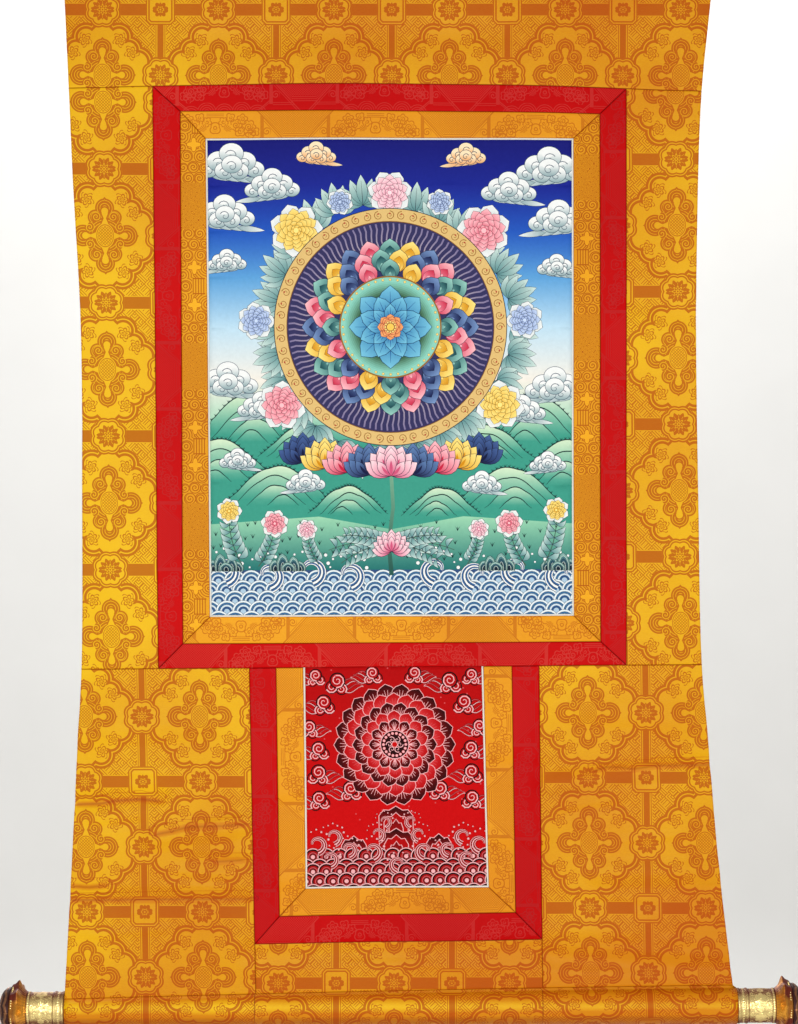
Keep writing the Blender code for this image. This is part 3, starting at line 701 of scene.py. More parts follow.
def cloth(name, sides, levels, finishes, pattern, hangs_from, step=CLOTH_STEP, row_step=CLOTH_ROW_STEP):
    """A panel or strip of cloth between two upright seams and two level ones."""
    width, height = extent(sides, levels)
    x, depth = place(sides, levels, *np.meshgrid(stations(width, step), stations(height, row_step)))
    half = BROCADE_THICK / 2.0 - seam_roll(sides, levels, x, depth) * ROLL_DROP * BROCADE_THICK
    front, back = (np.stack([x, surface(x, depth) + way * half, -depth], 2) for way in (-1.0, 1.0))
    coords = np.stack([measure.ravel() for measure in pattern(x, depth)], 1)
    obj = closed_sheet(name + "_cloth", front, back, finishes, coords)
    add_values(obj, "Pressed", pressed_line(x, depth).ravel())
    add_values(obj, "Sewn", sewn_distance(sides, levels, x, depth).ravel())
    # flat pieces carry no painted shade from turning round the rod
    add_values(obj, "Turned", np.zeros(x.size))
    wide = np.linalg.norm(np.diff(front, axis=1), axis=2).sum(1).max()
    long = np.linalg.norm(np.diff(front, axis=0), axis=2).sum(0).max()
    crossed = np.cross(front[1:, 1:] - front[:-1, :-1], front[1:, :-1] - front[:-1, 1:])
    sheets.append((dress(obj, name), (wide, long), np.linalg.norm(crossed, axis=2).sum() / 2.0,
                   hangs_from))


def piping(name, sides, levels, finish, level):
    """One length of round piping, sewn in between a border and what it frames."""
    run = extent(sides, levels)[0 if level else 1]
    along = np.linspace(0.0, 1.0, round(run / PIPING_STEP) + 1)
    section = np.arange(PIPING_SIDES + 1) * math.pi / PIPING_SIDES
    share, rise = 0.5 - 0.5 * np.cos(section), np.sin(section)
    across, down = np.meshgrid(along, share) if level else np.meshgrid(share, along)
    rise = rise[:, None] if level else rise
    x, depth = place(sides, levels, across, down, -PIPING_LAP)
    middle = fold(x, depth) - PIPING_PROUD
    front = np.stack([x, middle + PIPING_THICK * (0.22 - 0.72 * rise), -depth], 2)
    back = np.stack([x, middle + PIPING_THICK * (0.26 + 0.24 * rise), -depth], 2)
    u, v = (across, down) if level else (down, across)
    coords = np.stack([(u * run).ravel(), (v * PIPING_WIDTH).ravel()], 1) / MM
    return dress(closed_sheet(name + "_cord", front, back, [finish, finish], coords), name)


def frame_parts(outer, inner, with_top):
    """The sides and levels of each strip between two nested frames, with mitred corners."""
    left, right, top, bottom = outer
    left_in, right_in, top_in, bottom_in = inner
    foot_left, left_foot = mitres(corner(left, bottom), corner(left_in, bottom_in))
    foot_right, right_foot = mitres(corner(right, bottom), corner(right_in, bottom_in))
    parts, left_head, right_head = {}, top, top
    if with_top:
        head_left, left_head = mitres(corner(left, top), corner(left_in, top_in))
        head_right, right_head = mitres(corner(right, top), corner(right_in, top_in))
        parts["top"] = (head_left, head_right), (top, top_in)
    parts["bottom"] = (foot_left, foot_right), (bottom_in, bottom)
    parts["left"] = (left, left_in), (left_head, left_foot)
    parts["right"] = (right_in, right), (right_head, right_foot)
    return parts


def border(name, outer, inner, finishes, uprights, strips):
    """The strips of a border. strips gives for each where the middle of a cartouche lies along it, how far
    the pattern is shifted across, which way round it lies, and what the strip hangs from."""
    edges = dict(zip(("left", "right", "top", "bottom"), outer))
    for side, (sides, levels) in frame_parts(outer, inner, "top" in strips).items():
        start, shift, way, hangs_from = strips[side]
        edge, upright = edges[side], side in ("left", "right")
        inward = way if side in ("left", "top") else -way

        def pattern(x, depth):
            along, across = (depth, x) if upright else (x, depth)
            return (along - start) / MM, (across - edge.at(along)) / MM * inward + shift

        cloth(name + "_" + side, sides, levels, uprights if upright else finishes, pattern, [hangs_from],
              STRIP_STEP)


def inside_by(width, outer, has_top):
    """The frame that lies a little inside another."""
    def shifted(seam, distance):
        (t0, v0), (t1, v1) = seam.start, seam.end
        return Seam((t0, v0 + distance), (t1, v1 + distance), seam.bow)

    left, right, top, bottom = outer
    return (shifted(left, width), shifted(right, -width),
            shifted(top, width) if has_top else top, shifted(bottom, -width))


def weave_place(node):
    """The pattern coordinates of a brocade piece, in mm of the woven repeat."""
    centre_x, centre_depth, pitch, lean = WEAVE_PLACES[node]

    def pattern(x, depth):
        below = depth - centre_depth
        return (x - centre_x - lean * below) / MM, below * (REPEAT_HIGH / pitch) / MM
    return pattern


# Painting and embroidery


class Picture:
    """Flat shapes laid one over another, each in one blend of two colours. Sizes are in mm, y down."""

    def __init__(self, wide, high):
        self.wide, self.high = wide, high
        self.points, self.faces, self.paints = [], [], []

    def shape(self, points, colour, other=None, start=(0.0, 0.0), end=(0.0, 1.0), rise=0.0):
        points = np.clip(points, 0.0, (self.wide, self.high))
        area = turned_area(points)
        if abs(area) < SPECK:
            return
        first = len(self.points)
        self.points.extend(points if area > 0 else points[::-1])
        self.faces.append(range(first, first + len(points)))
        self.paints.append((*colour, *(other or colour), *start, *end, rise))

    def drawn(self, points, edge, line, colour, other=None, start=(0.0, 0.0), end=(0.0, 1.0), rise=0.0):
        """A shape with a drawn outline."""
        points = np.asarray(points, float)
        self.shape(grown(points, line), edge, rise=rise)
        self.shape(points, colour, other, start, end, rise)

    def stroke(self, points, widths, colour, other=None, rise=0.0):
        """A brush stroke or a row of stitches along a line. Its width may change along it."""
        points = np.asarray(points, float)
        ahead = np.gradient(points, axis=0)
        ahead /= np.maximum(np.linalg.norm(ahead, axis=1), 1e-9)[:, None]
        side = np.stack([-ahead[:, 1], ahead[:, 0]], 1) * (np.asarray(widths) / 2.0).reshape(-1, 1)
        self.shape(np.vstack([points + side, (points - side)[::-1]]), colour, other, tuple(points[0]),
                   tuple(points[-1]), rise)

    def cut(self, step):
        """The shapes cut where they cross: points, triangles and which shape lies on top of each."""
        across, down = round(self.wide / step), round(self.high / step)
        net = [(self.wide * i / across, self.high * j / down)
               for i in range(across + 1) for j in range(down + 1)]
        edges = [(loop[i - 1], loop[i]) for loop in self.faces for i in range(len(loop))]
        points, faces, shown = self.laid(self.points + net, edges)

        # the same again, with only the outlines that show
        kind = np.unique(np.array(self.paints), axis=0, return_inverse=True)[1].ravel()[shown]
        ends = np.sort(np.vstack([faces[:, [0, 1]], faces[:, [1, 2]], faces[:, [2, 0]]]), axis=1)
        owner = np.tile(np.arange(len(faces)), 3)
        order = np.lexsort(ends.T)
        ends, owner = ends[order], owner[order]
        seen = (ends[1:] == ends[:-1]).all(1) & (kind[owner[1:]] != kind[owner[:-1]])
        used, index = np.unique(straightened(points, ends[1:][seen]), return_inverse=True)
        return self.laid([tuple(p) for p in points[used]] + net, index.reshape(-1, 2).tolist())

    def laid(self, points, edges):
        """Triangles over the whole picture that keep to the edges, and which shape lies on top of each."""
        points, _, faces, _, _, _ = delaunay_2d_cdt([Vector(p) for p in points], edges, [], 0, MERGED, False)
        points, faces = np.array([tuple(p) for p in points]), np.array(faces)
        centres = points[faces].mean(1)
        order = np.argsort(centres[:, 0])
        centres = centres[order]
        shown = np.zeros(len(faces), np.int32)
        corners = np.array(self.points)
        for number, loop in enumerate(self.faces):
            outline = corners[loop.start:loop.stop]
            low, high = outline.min(0), outline.max(0)
            first, last = np.searchsorted(centres[:, 0], (low[0], high[0]))
            near = np.arange(first, last)
            near = near[(centres[near, 1] > low[1]) & (centres[near, 1] < high[1])]
            shown[near[surrounded(centres[near], outline)]] = number
        result = np.empty_like(shown)
        result[order] = shown
        return points, faces, result


def straightened(points, edges, slack=0.03):
    """Edges without the points that lie on a straight run between two others."""
    near = defaultdict(set)
    for a, b in edges.tolist():
        near[a].add(b)
        near[b].add(a)
    for point in sorted(near):
        if len(near[point]) == 2:
            a, b = near[point]
            (ax, ay), (bx, by), (px, py) = points[a], points[b], points[point]
            span, area = math.hypot(bx - ax, by - ay), (bx - ax) * (py - ay) - (by - ay) * (px - ax)
            if b not in near[a] and span > 0 and abs(area) < slack * span:
                near[a] = near[a] - {point} | {b}
                near[b] = near[b] - {point} | {a}
                near[point] = set()
    return np.array([(a, b) for a, others in near.items() for b in others if a < b])


def surrounded(places, outline):
    """Whether a closed outline runs round each place."""
    x, y = places[:, :1], places[:, 1:]
    (x0, y0), (x1, y1) = outline.T, np.roll(outline, -1, 0).T
    left = (x1 - x0) * (y - y0) - (x - x0) * (y1 - y0)
    winding = ((y0 <= y) & (y1 > y) & (left > 0)).sum(1) - ((y0 > y) & (y1 <= y) & (left < 0)).sum(1)
    return winding != 0


def turned_area(points):
    """Twice the area inside an outline, below 0 where it runs the other way round."""
    x, y = points[:, 0], points[:, 1]
    return np.sum(x * np.roll(y, -1) - np.roll(x, -1) * y)


def grown(points, distance):
    """A closed outline moved outwards."""
    ahead = np.roll(points, -1, 0) - np.roll(points, 1, 0)
    ahead /= np.maximum(np.linalg.norm(ahead, axis=1), 1e-9)[:, None]
    way = np.sign(turned_area(points)) or 1.0
    return points + np.stack([ahead[:, 1], -ahead[:, 0]], 1) * (distance * way)


def toward(turn):
    return np.array([math.cos(turn), math.sin(turn)])


PETAL_STEPS = 7    # places from root to tip of a petal
SPECK = 0.3        # square mm, twice the smallest area that is drawn
MERGED = 0.004     # mm, corners closer than this become one
PAINTING_NET, DOOR_NET = 7.0, 5.0                                # mm, the net of points under each picture
LOW_THREAD, MID_THREAD, HIGH_THREAD = 0.0001, 0.0002, 0.0003     # metres that the stitches stand out


def round_points(x, y, radius, steps, tall=1.0):
    turn = np.arange(steps) * TURN / steps
    return np.stack([x + radius * np.cos(turn), y + radius * tall * np.sin(turn)], 1)


def ring(x, y, reach, count, shift=0.0, tall=None):
    """Places round a circle, each as its direction, x and y."""
    for i in range(count):
        way = TURN * (i + shift) / count
        yield way, x + reach * math.cos(way), y + (tall or reach) * math.sin(way)


def dots(picture, x, y, reach, count, size, steps, edge, line, colour):
    """A ring of round dots."""
    for _, px, py in ring(x, y, reach, count):
        picture.drawn(round_points(px, py, size, steps), edge, line, colour)


def vein(picture, x, y, way, long, widths, colour, rise=0.0):
    """A line that tapers away from a place."""
    start = np.array([x, y])
    end = start + toward(way) * long
    picture.stroke([start, (start + end) / 2.0, end], widths, colour, rise=rise)


def tuft(picture, x, y, lean, bend, high, widths, colour):
    """Three blades of grass."""
    for way in (-lean, 0.0, lean):
        picture.stroke([(x, y), (x + way, y - high[0]), (x + bend * way, y - high[1])], widths, colour)


def outside_in(count):
    """Places from -0.5 to 0.5, the outermost first."""
    return sorted(np.linspace(-0.5, 0.5, count), key=lambda place_at: -abs(place_at))


def petal(picture, x, y, turn, long, wide, root, tip, edge, line=0.45, belly=0.8, full=0.8, bend=0.0,
          rise=0.0):
    """A petal or leaf that starts at x, y. belly moves its widest place, full rounds its end."""
    t = np.linspace(0.0, 1.0, PETAL_STEPS)
    half, middle = wide / 2.0 * np.sin(math.pi * t ** belly) ** full, bend * long * t * (1.0 - t)
    along, off = np.r_[t, t[-2:0:-1]] * long, np.r_[middle + half, (middle - half)[-2:0:-1]]
    start, ahead = np.array([x, y]), toward(turn)
    points = start + along[:, None] * ahead + off[:, None] * toward(turn + TURN / 4.0)
    picture.drawn(points, edge, line, root, tip, (x, y), tuple(start + ahead * long), rise)


def blossom(picture, x, y, size, root, tip, edge, rows, count, turn=0.0, line=0.4):
    """A full round flower of several rows of petals."""
    for row in range(rows):
        reach, petals = size * (1.0 - 0.19 * row), count - row
        for i in range(petals):
            way = turn + TURN * (i + 0.5 * (row % 2)) / petals
            petal(picture, x, y, way, reach, reach * 5.0 / petals, root, tip, edge, line, 1.7, 0.55)
    picture.shape(round_points(x, y, size * 0.12, 10), tip)


def collar(picture, x, y, turn, long, wide, root, tip, edge):
    """Seven pale petals that stand out behind a flower."""
    for k in range(7):
        petal(picture, x, y, turn + TURN * k / 7, long, wide, root, tip, edge, 0.4, 1.5, 0.5)


def curl(picture, x, y, size, turn, colour, width, turns=1.3, flip=1.0, rise=0.0):
    """A spiral line that runs inwards."""
    t = np.linspace(0.0, 1.0, 16)
    radius = size * (1.0 - 0.86 * t)
    way = turn + flip * turns * TURN * t
    points = np.stack([x + radius * np.cos(way), y + radius * np.sin(way)], 1)
    picture.stroke(points, width * (1.0 - 0.5 * t), colour, rise=rise)


def leaves(picture, x, y, turn, size, colours, edge, count, spread):
    """A fan of pointed leaves, the middle one on top."""
    for place_at in outside_in(count):
        way, long = turn + spread * place_at, size * (1.0 - 0.45 * abs(place_at))
        petal(picture, x, y, way, long, long * 0.36, *colours, edge, 0.4, 0.95, 0.9, place_at)
        vein(picture, x, y, way, long * 0.8, (0.7, 0.4, 0.2), edge)


CLOUD_LOBES = [
    # x, y, radius
    (-1.00, 0.22, 0.42), (1.02, 0.25, 0.40), (-0.55, -0.12, 0.50), (0.58, -0.10, 0.48),
    (0.00, -0.45, 0.52), (-0.30, 0.30, 0.42), (0.34, 0.32, 0.40), (0.02, 0.02, 0.44),
]


def cloud(picture, x, y, size, pale, shade, edge, flip=1.0):
    """A bank of round lobes, light above and shaded below, each with a curl, and a trailing wisp."""
    for k in range(4):
        base = x - flip * size * (0.9 - 0.5 * k)
        petal(picture, base, y + size * (0.52 + 0.05 * k), 0.12 if flip > 0 else math.pi - 0.12,
              size * 1.3, size * 0.26, shade, pale, edge, 0.45)
    for dx, dy, radius in CLOUD_LOBES:
        cx, cy, reach = x + flip * dx * size, y + dy * size, radius * size
        picture.drawn(round_points(cx, cy, reach, 22, 0.86), edge, 0.55, pale, shade, (cx, cy - 0.25 * reach),
                      (cx, cy + 0.8 * reach))
        picture.shape(round_points(cx - 0.15 * reach, cy - 0.3 * reach, reach * 0.52, 16, 0.7), pale)
        curl(picture, cx, cy + 0.22 * reach, reach * 0.56, 3.6 if flip > 0 else 5.8, edge, 0.8, 1.2, flip)


def peak(picture, x, y, wide, high, pale, deep, dark, seed):
    """A rounded green hill of stepped ridges, dark at their edges, with tufts along the top."""
    t = np.linspace(-1.0, 1.0, 29)
    for k in range(4):
        share = 1.0 - 0.24 * k
        ridge = np.stack([x + wide * share * t + 3.0 * k * math.sin(seed + k),
                          y - high * share * np.cos(t * math.pi / 2.0) ** 1.2
                          - 1.8 * share * np.abs(np.sin(t * 5.5 + seed + k))], 1)
        body = np.vstack([ridge, ridge[::-1] * (1.0, 0.0) + (0.0, y + 1.0)])
        top = mix(np.array(pale), np.array(deep), (0.0, 0.35, 0.15, 0.5)[k])
        picture.shape(body, tuple(top), deep, (x, y - high * share * 0.96), (x, y - high * share * 0.22))
        picture.stroke(ridge, 0.35 + 0.9 * np.cos(t * math.pi / 2.0), dark)
        if k == 0:
            for px, py in ridge[1:-1]:
                tuft(picture, px, py, 0.9, 2.1, (1.6, 2.8), (0.7, 0.5, 0.2), dark)


def lotus(picture, x, y, size, root, tip, edge, count=9, spread=2.7, line=0.5):
    """A lotus seen from the side, its outer petals laid wide and its heart upright."""
    for row, (share, petals) in enumerate(((1.0, count), (0.86, count - 2), (0.66, count - 4))):
        for place_at in outside_in(petals):
            way = -TURN / 4.0 + spread * place_at * (1.0 - 0.16 * row)
            long, bend = size * share * (1.0 - 0.22 * abs(place_at)), 0.6 * place_at
            petal(picture, x, y, way, long, long * 0.46, root, tip, edge, line, 1.15, 0.8, bend)
            petal(picture, x, y, way, long * 0.72, long * 0.15, root, root, root, 0.0, 1.0, 0.9, bend)


def spray(picture, x, y, turn, long, colours, flower, edge, bend):
    """A leafy stem that ends in a flower."""
    t = np.linspace(0.0, 1.0, 9)
    ahead, side = toward(turn), toward(turn + TURN / 4.0)
    stem = np.array([x, y]) + t[:, None] * long * ahead + (bend * long * t * (1.0 - t))[:, None] * side
    picture.stroke(stem, 1.3 - 0.6 * t, (70, 96, 84))
    for i in range(1, 8):
        for flip in (-1.0, 1.0):
            way, size = turn + flip * (0.75 + 0.04 * i), long * (0.26 - 0.012 * i)
            petal(picture, *stem[i], way, size, size * 0.42, *colours, edge, 0.4, 0.95, 0.9, flip)
            vein(picture, *stem[i], way, size * 0.8, (0.6, 0.4, 0.2), edge)
    if flower:
        size, root, tip = flower
        collar(picture, *stem[-1], turn, size * 1.3, size * 0.9, (176, 196, 196), (240, 242, 238), edge)
        blossom(picture, *stem[-1], size, root, tip, tuple(c * 0.55 for c in root), 4, 9, turn, 0.35)


ROCKS = [
    # place across, height, half width
    (-0.9, 0.8, 0.42), (0.9, 0.7, 0.40), (-0.35, 1.25, 0.44), (0.45, 1.05, 0.40), (0.05, 0.62, 0.50),
]
ROCK_FACE = [
    # place across and height of the outline's points
    (-1.0, 0.0), (-1.05, 0.55), (-0.55, 0.9), (-0.1, 1.0), (0.5, 0.84), (1.0, 0.45), (1.0, 0.0),
]


def rocks(picture, x, y, size, flip):
    """A cluster of split blue-green rocks with pale edges."""
    for offset, tall, broad in ROCKS:
        px = x + flip * size * offset
        for j, shade in enumerate(((132, 176, 168), (78, 126, 132), (48, 86, 104), (24, 46, 66))):
            wide, top = size * broad * (1.0 - 0.24 * j), size * tall * (1.0 - 0.17 * j)
            line = [(px + wide * a, y - top * b) for a, b in ROCK_FACE]
            picture.drawn(line, (22, 34, 48) if j % 2 == 0 else (206, 224, 212), 0.45, shade,
                          tuple(c * 0.6 for c in shade), (px, y - top), (px, y))


def waves(picture, y, radius, bands, edge, shift, rise=0.0):
    """A row of waves right across: round scallops with bands inside each other."""
    first = -radius * 5.0 / 6.0
    for i in range(int((picture.wide - 2.0 * first) / (radius * 1.5)) + 2):
        cx = first + (i + shift) * radius * 1.5
        for k, band in enumerate(bands):
            scallop = round_points(cx, y, radius * (1.0 - k / len(bands) * 0.92), 20)
            picture.drawn(scallop, edge, 0.35, band, rise=rise)


def breaker(picture, x, y, size, flip, deep, foam, edge, rise=0.0):
    """A breaking wave: a band that curls over, rimmed with foam, with drops off its back."""
    t = np.linspace(0.0, 1.0, 18)
    way = math.pi * 0.5 - flip * (0.2 + 4.6 * t)
    radius = size * (1.0 - 0.66 * t)
    line = np.stack([x + radius * np.cos(way) * 1.1, y + radius * np.sin(way)], 1)
    for width, shade in ((0.78, edge), (0.70, foam), (0.52, deep), (0.26, edge), (0.16, foam)):
        picture.stroke(line, size * width * (1.0 - 0.72 * t), shade, rise=rise)
    for k in range(7):
        way = -0.35 - 0.40 * k if flip > 0 else math.pi + 0.35 + 0.40 * k
        reach = size * (1.42 + 0.16 * (k % 2))
        drop = round_points(x + reach * math.cos(way), y + reach * math.sin(way), size * (0.13 - 0.01 * k), 9)
        picture.drawn(drop, edge, 0.25, foam, rise=rise)


def paint_picture(wide, high):
    """A traditional lotus wheel over hills and water, of the builder's own layout."""
    art = Picture(wide, high)
    ink, gold, white = (30, 34, 58), (222, 186, 118), (240, 242, 240)
    sky = [(0, (24, 26, 112)), (50, (28, 40, 140)), (100, (38, 86, 184)), (150, (92, 158, 214)),
           (205, (188, 220, 238)), (262, (240, 234, 222)), (300, (176, 216, 190)), (332, (62, 152, 132)),
           (high, (62, 152, 132))]
    for (y0, top), (y1, low) in zip(sky, sky[1:]):
        art.shape(np.array([(0, y0), (wide, y0), (wide, y1), (0, y1)], float), top, low, (0, y0), (0, y1))
    pale, deep, dark = (206, 230, 196), (62, 152, 132), (22, 52, 52)
    for i, (x, y, half, rise) in enumerate(((44, 330, 66, 52), (352, 332, 66, 54), (104, 346, 52, 34),
                                            (300, 348, 54, 36), (8, 372, 66, 46), (392, 376, 66, 48),
                                            (74, 398, 62, 42),
                                            (326, 402, 64, 44), (150, 408, 44, 30), (252, 410, 44, 30))):
        peak(art, x, y, half, rise, pale, deep, dark, i * 1.7)

    # clouds in the corners, along the horizon and between the hills
    cool, warm, edge = (142, 168, 172), (232, 168, 112), (50, 70, 92)
    for x, y, size, flip, shade in ((26, 26, 25, 1, cool), (70, 50, 21, -1, cool), (370, 30, 25, -1, cool),
                                    (326, 54, 21, 1, cool), (18, 80, 23, 1, cool), (380, 86, 23, -1, cool),
                                    (118, 16, 15, 1, warm), (280, 17, 15, -1, warm), (20, 132, 15, -1, cool),
                                    (378, 138, 15, 1, cool), (20, 262, 23, 1, cool), (376, 268, 23, -1, cool),
                                    (56, 290, 18, -1, cool), (340, 294, 18, 1, cool), (30, 348, 14, 1, cool),
                                    (368, 352, 14, -1, cool), (104, 372, 15, -1, cool),
                                    (296, 374, 15, 1, cool)):
        cloud(art, x, y, size, white if shade is cool else (252, 226, 186), shade, edge, flip)

    # grassy banks, then water with waves along the foot
    art.shape(np.array([(0, 418), (wide * 0.3, 410), (wide * 0.5, 424), (wide * 0.7, 410), (wide, 418),
                        (wide, high),
                        (0, high)], float), (150, 208, 172), (40, 112, 108), (0, 412), (0, 468))
    for i in range(90):
        px, py = (i * 37.7) % wide, 418.0 + (i * 17.3) % 42.0
        for lean in (-1.1, 0.0, 1.1):
            art.stroke([(px, py), (px + lean, py - 2.6), (px + 2.2 * lean, py - 4.6)], (0.8, 0.6, 0.2), dark)
    water = [(226, 236, 240), (62, 108, 150), (206, 222, 232), (44, 84, 134), (170, 198, 218)]
    art.shape(np.array([(0, 468), (wide, 468), (wide, high), (0, high)], float), (52, 80, 126), (30, 48, 92),
              (0, 470), (0, high))
    for row, y in enumerate((480, 491, 502, 513, 524)):
        waves(art, y, 12.0, water, ink, 0.5 * (row % 2))
    for i, x in enumerate((14, 62, 108, 150, 246, 290, 334, 382)):
        breaker(art, x, 468.0 + 5.0 * (i % 2), 15.0, 1.0 if x < wide / 2 else -1.0, (52, 96, 146), white, ink)
    for x, flip in ((84, 1.0), (312, -1.0), (16, 1.0), (380, -1.0)):
        rocks(art, x, 469.0, 15.0, flip)

    # flowering sprays on the banks and around the wheel
    cx, cy = wide / 2.0, 204.0
    leaf = (84, 134, 136), (208, 228, 220)
    rose, amber = ((196, 36, 66), (252, 190, 196)), ((210, 138, 22), (254, 228, 132))
    blush, blue = ((206, 84, 120), (254, 222, 226)), ((62, 86, 160), (200, 218, 244))
    for x, y, way, long, bend, flower in ((34, 462, -1.80, 60, -0.3, (11, *amber)),
                                          (52, 464, -1.2, 50, 0.3, (12, *rose)),
                                          (364, 462, -1.35, 60, 0.3, (11, *amber)),
                                          (344, 464, -1.95, 50, -0.3, (12, *rose)),
                                          (118, 462, -1.9, 40, -0.3, (9, *blush)),
                                          (280, 462, -1.25, 40, 0.3, (9, *blush))):
        spray(art, x, y, way, long, leaf, flower, ink, bend)
    for way in np.linspace(0.0, TURN, 29)[:-1]:
        reach = 132.0 + 6.0 * math.cos(3 * way)
        px, py = cx + reach * math.cos(way) * 0.96, cy + reach * math.sin(way)
        leaves(art, px, py, way + 0.35 * math.sin(2 * way), 33.0, leaf, ink, 7, 2.4)
    flowers = [(-0.80, 24, rose), (-2.34, 24, amber), (0.62, 22, amber), (2.52, 22, rose),
               (-1.571, 20, blush),
               (-0.05, 17, blue), (3.19, 17, blue), (-1.19, 12, blue), (-1.95, 12, blue)]
    for way, size, colours in flowers:
        px, py = cx + 146.0 * math.cos(way), cy + 146.0 * math.sin(way)
        for k in range(7):
            petal(art, px, py, way + TURN * (k + 0.5) / 7, size * 1.22, size * 0.86, (170, 190, 194), white,
                  ink,
                  0.4, 1.5, 0.5)
        blossom(art, px, py, size, *colours, tuple(c * 0.5 for c in colours[0]), 5, 10, way)

    # the lotus that carries the wheel
    art.stroke([(cx, 474), (cx - 3, 440), (cx + 2, 400), (cx, 362)], (5.0, 4.4, 4.0, 4.0), (40, 84, 76),
               (120, 170, 140))
    for flip in (-1.0, 1.0):
        for way, long in ((0.10, 66.0), (0.38, 56.0), (-0.16, 54.0)):
            spray(art, cx + flip * 3.0, 440.0, (way if flip > 0 else math.pi - way), long, leaf, None, ink,
                  -0.3 * flip)
    for i, offset in enumerate((-96, 96, -72, 72, -48, 48, -24, 24, 0)):
        colours = (((18, 26, 60), (70, 96, 150)), amber, rose, ((24, 30, 66), (96, 128, 176)), blush)[i // 2]
        lotus(art, cx + offset, 366.0 - 0.0016 * offset * offset, 33.0 + 0.03 * (96 - abs(offset)), *colours,
              ink,
              7, 2.2, 0.55)
    lotus(art, cx, 448.0, 24.0, *blush, ink, 9, 3.0)

    # the wheel, from its rim inwards
    art.drawn(round_points(cx, cy, 126.0, 96, 1.02), ink, 0.8, gold)
    for i in range(60):
        way = TURN * i / 60
        px, py = cx + 119.0 * math.cos(way), cy + 121.4 * math.sin(way)
        curl(art, px, py, 5.0, way, (150, 98, 44), 0.9, 1.6, 1.0 if i % 2 else -1.0)
        art.shape(round_points(px + 2.0 * math.cos(way), py + 2.0 * math.sin(way), 1.0, 6), (176, 60, 48))
    art.drawn(round_points(cx, cy, 112.0, 96, 1.02), (120, 78, 40), 0.9, (54, 52, 92))
    for i in range(108):
        way = TURN * (i + 0.5) / 108
        t = np.linspace(0.0, 1.0, 7)
        radius, swing = mix(74.0, 110.5, t), 0.012 * np.sin(t * 9.0)
        line = np.stack([cx + radius * np.cos(way + swing), cy + radius * 1.02 * np.sin(way + swing)], 1)
        art.stroke(line, mix(1.0, 1.9, t), (186, 172, 176), (124, 114, 152))
    for row, (reach, count, size) in enumerate(((96.0, 24, 27.0), (85.0, 24, 26.0), (74.0, 16, 25.0))):
        colours = [((20, 28, 70), (120, 150, 196)), rose, ((20, 66, 74), (150, 204, 190)), amber]
        for i in range(count):
            way = TURN * (i + 0.5 * (row % 2)) / count
            root, tip = colours[(i + row) % 4]
            px, py = cx + (reach - size) * math.cos(way), cy + (reach - size) * math.sin(way)
            petal(art, px, py, way, size, size * 0.82, root, tip, ink, 0.5, 1.1, 0.75)
            petal(art, px, py, way, size * 0.72, size * 0.46, tip, root, ink, 0.25, 1.1, 0.75)
            petal(art, px, py, way, size * 0.44, size * 0.20, root, tip, ink, 0.2, 1.1, 0.75)
    art.drawn(round_points(cx, cy, 54.0, 72), (150, 104, 44), 1.6, (140, 206, 186))
    dots(art, cx, cy, 51.5, 40, 1.3, 8, ink, 0.25, (246, 214, 120))
    for k in range(9):
        shade = mix(np.array((134, 204, 186)), np.array((34, 58, 30)), ((k + 1) / 9) ** 1.3)
        art.shape(round_points(cx, cy, 49.0 - 2.0 * k, 48), tuple(shade))
    blues = (18, 76, 140), (120, 196, 222)
    for row, (long, broad, count) in enumerate(((45.0, 27.0, 8), (35.0, 20.0, 8), (25.0, 13.0, 8))):
        for i in range(count):
            way = TURN * (i + 0.5 * (row % 2)) / count
            petal(art, cx, cy, way, long, broad, blues[0], blues[1], (16, 40, 84), 0.6, 1.25, 0.8)
            for spread in (-0.16, 0.0, 0.16):
                end = np.array([cx, cy]) + toward(way + spread) * long * (0.86 - abs(spread))
                art.stroke([(cx, cy), tuple((np.array([cx, cy]) + end) / 2.0), tuple(end)], (1.4, 0.9, 0.3),
                           blues[0])
    blossom(art, cx, cy, 14.0, (176, 44, 36), (250, 176, 110), (110, 20, 28), 3, 8)
    dots(art, cx, cy, 5.6, 12, 1.1, 8, ink, 0.25, (246, 214, 120))
    art.drawn(round_points(cx, cy, 4.0, 16), (110, 20, 28), 0.5, (244, 200, 90))
    return art


def scroll_cloud(picture, x, y, size, flip, pink, dull, black):
    """A stitched cloud: three coils in a row over black, with a tail of flowing lines."""
    for k in range(4):
        t = np.linspace(0.0, 1.0, 9)
        line = np.stack([x - flip * size * (0.2 + 2.3 * t),
                         y + size * (0.55 - 0.28 * k + 0.35 * np.sin(t * 5.0 + k))], 1)
        picture.stroke(line, 2.2 * (1.0 - 0.7 * t), black, rise=LOW_THREAD)
        picture.stroke(line, 0.9 - 0.4 * t, dull if k % 2 else pink, rise=HIGH_THREAD)
    for dx, dy, share, start in ((-0.1, 0.45, 0.62, 2.4), (0.95, 0.25, 0.66, 0.4), (0.35, -0.45, 0.80, 1.4)):
        cx, cy, reach = x + flip * dx * size, y + dy * size, share * size
        picture.shape(round_points(cx, cy, reach * 1.12, 18), black, rise=LOW_THREAD)
        picture.shape(round_points(cx, cy, reach * 0.92, 18), (168, 10, 16), rise=MID_THREAD)
        curl(picture, cx, cy, reach, start if flip > 0 else math.pi - start, pink, 1.5, 1.7, flip,
             HIGH_THREAD)


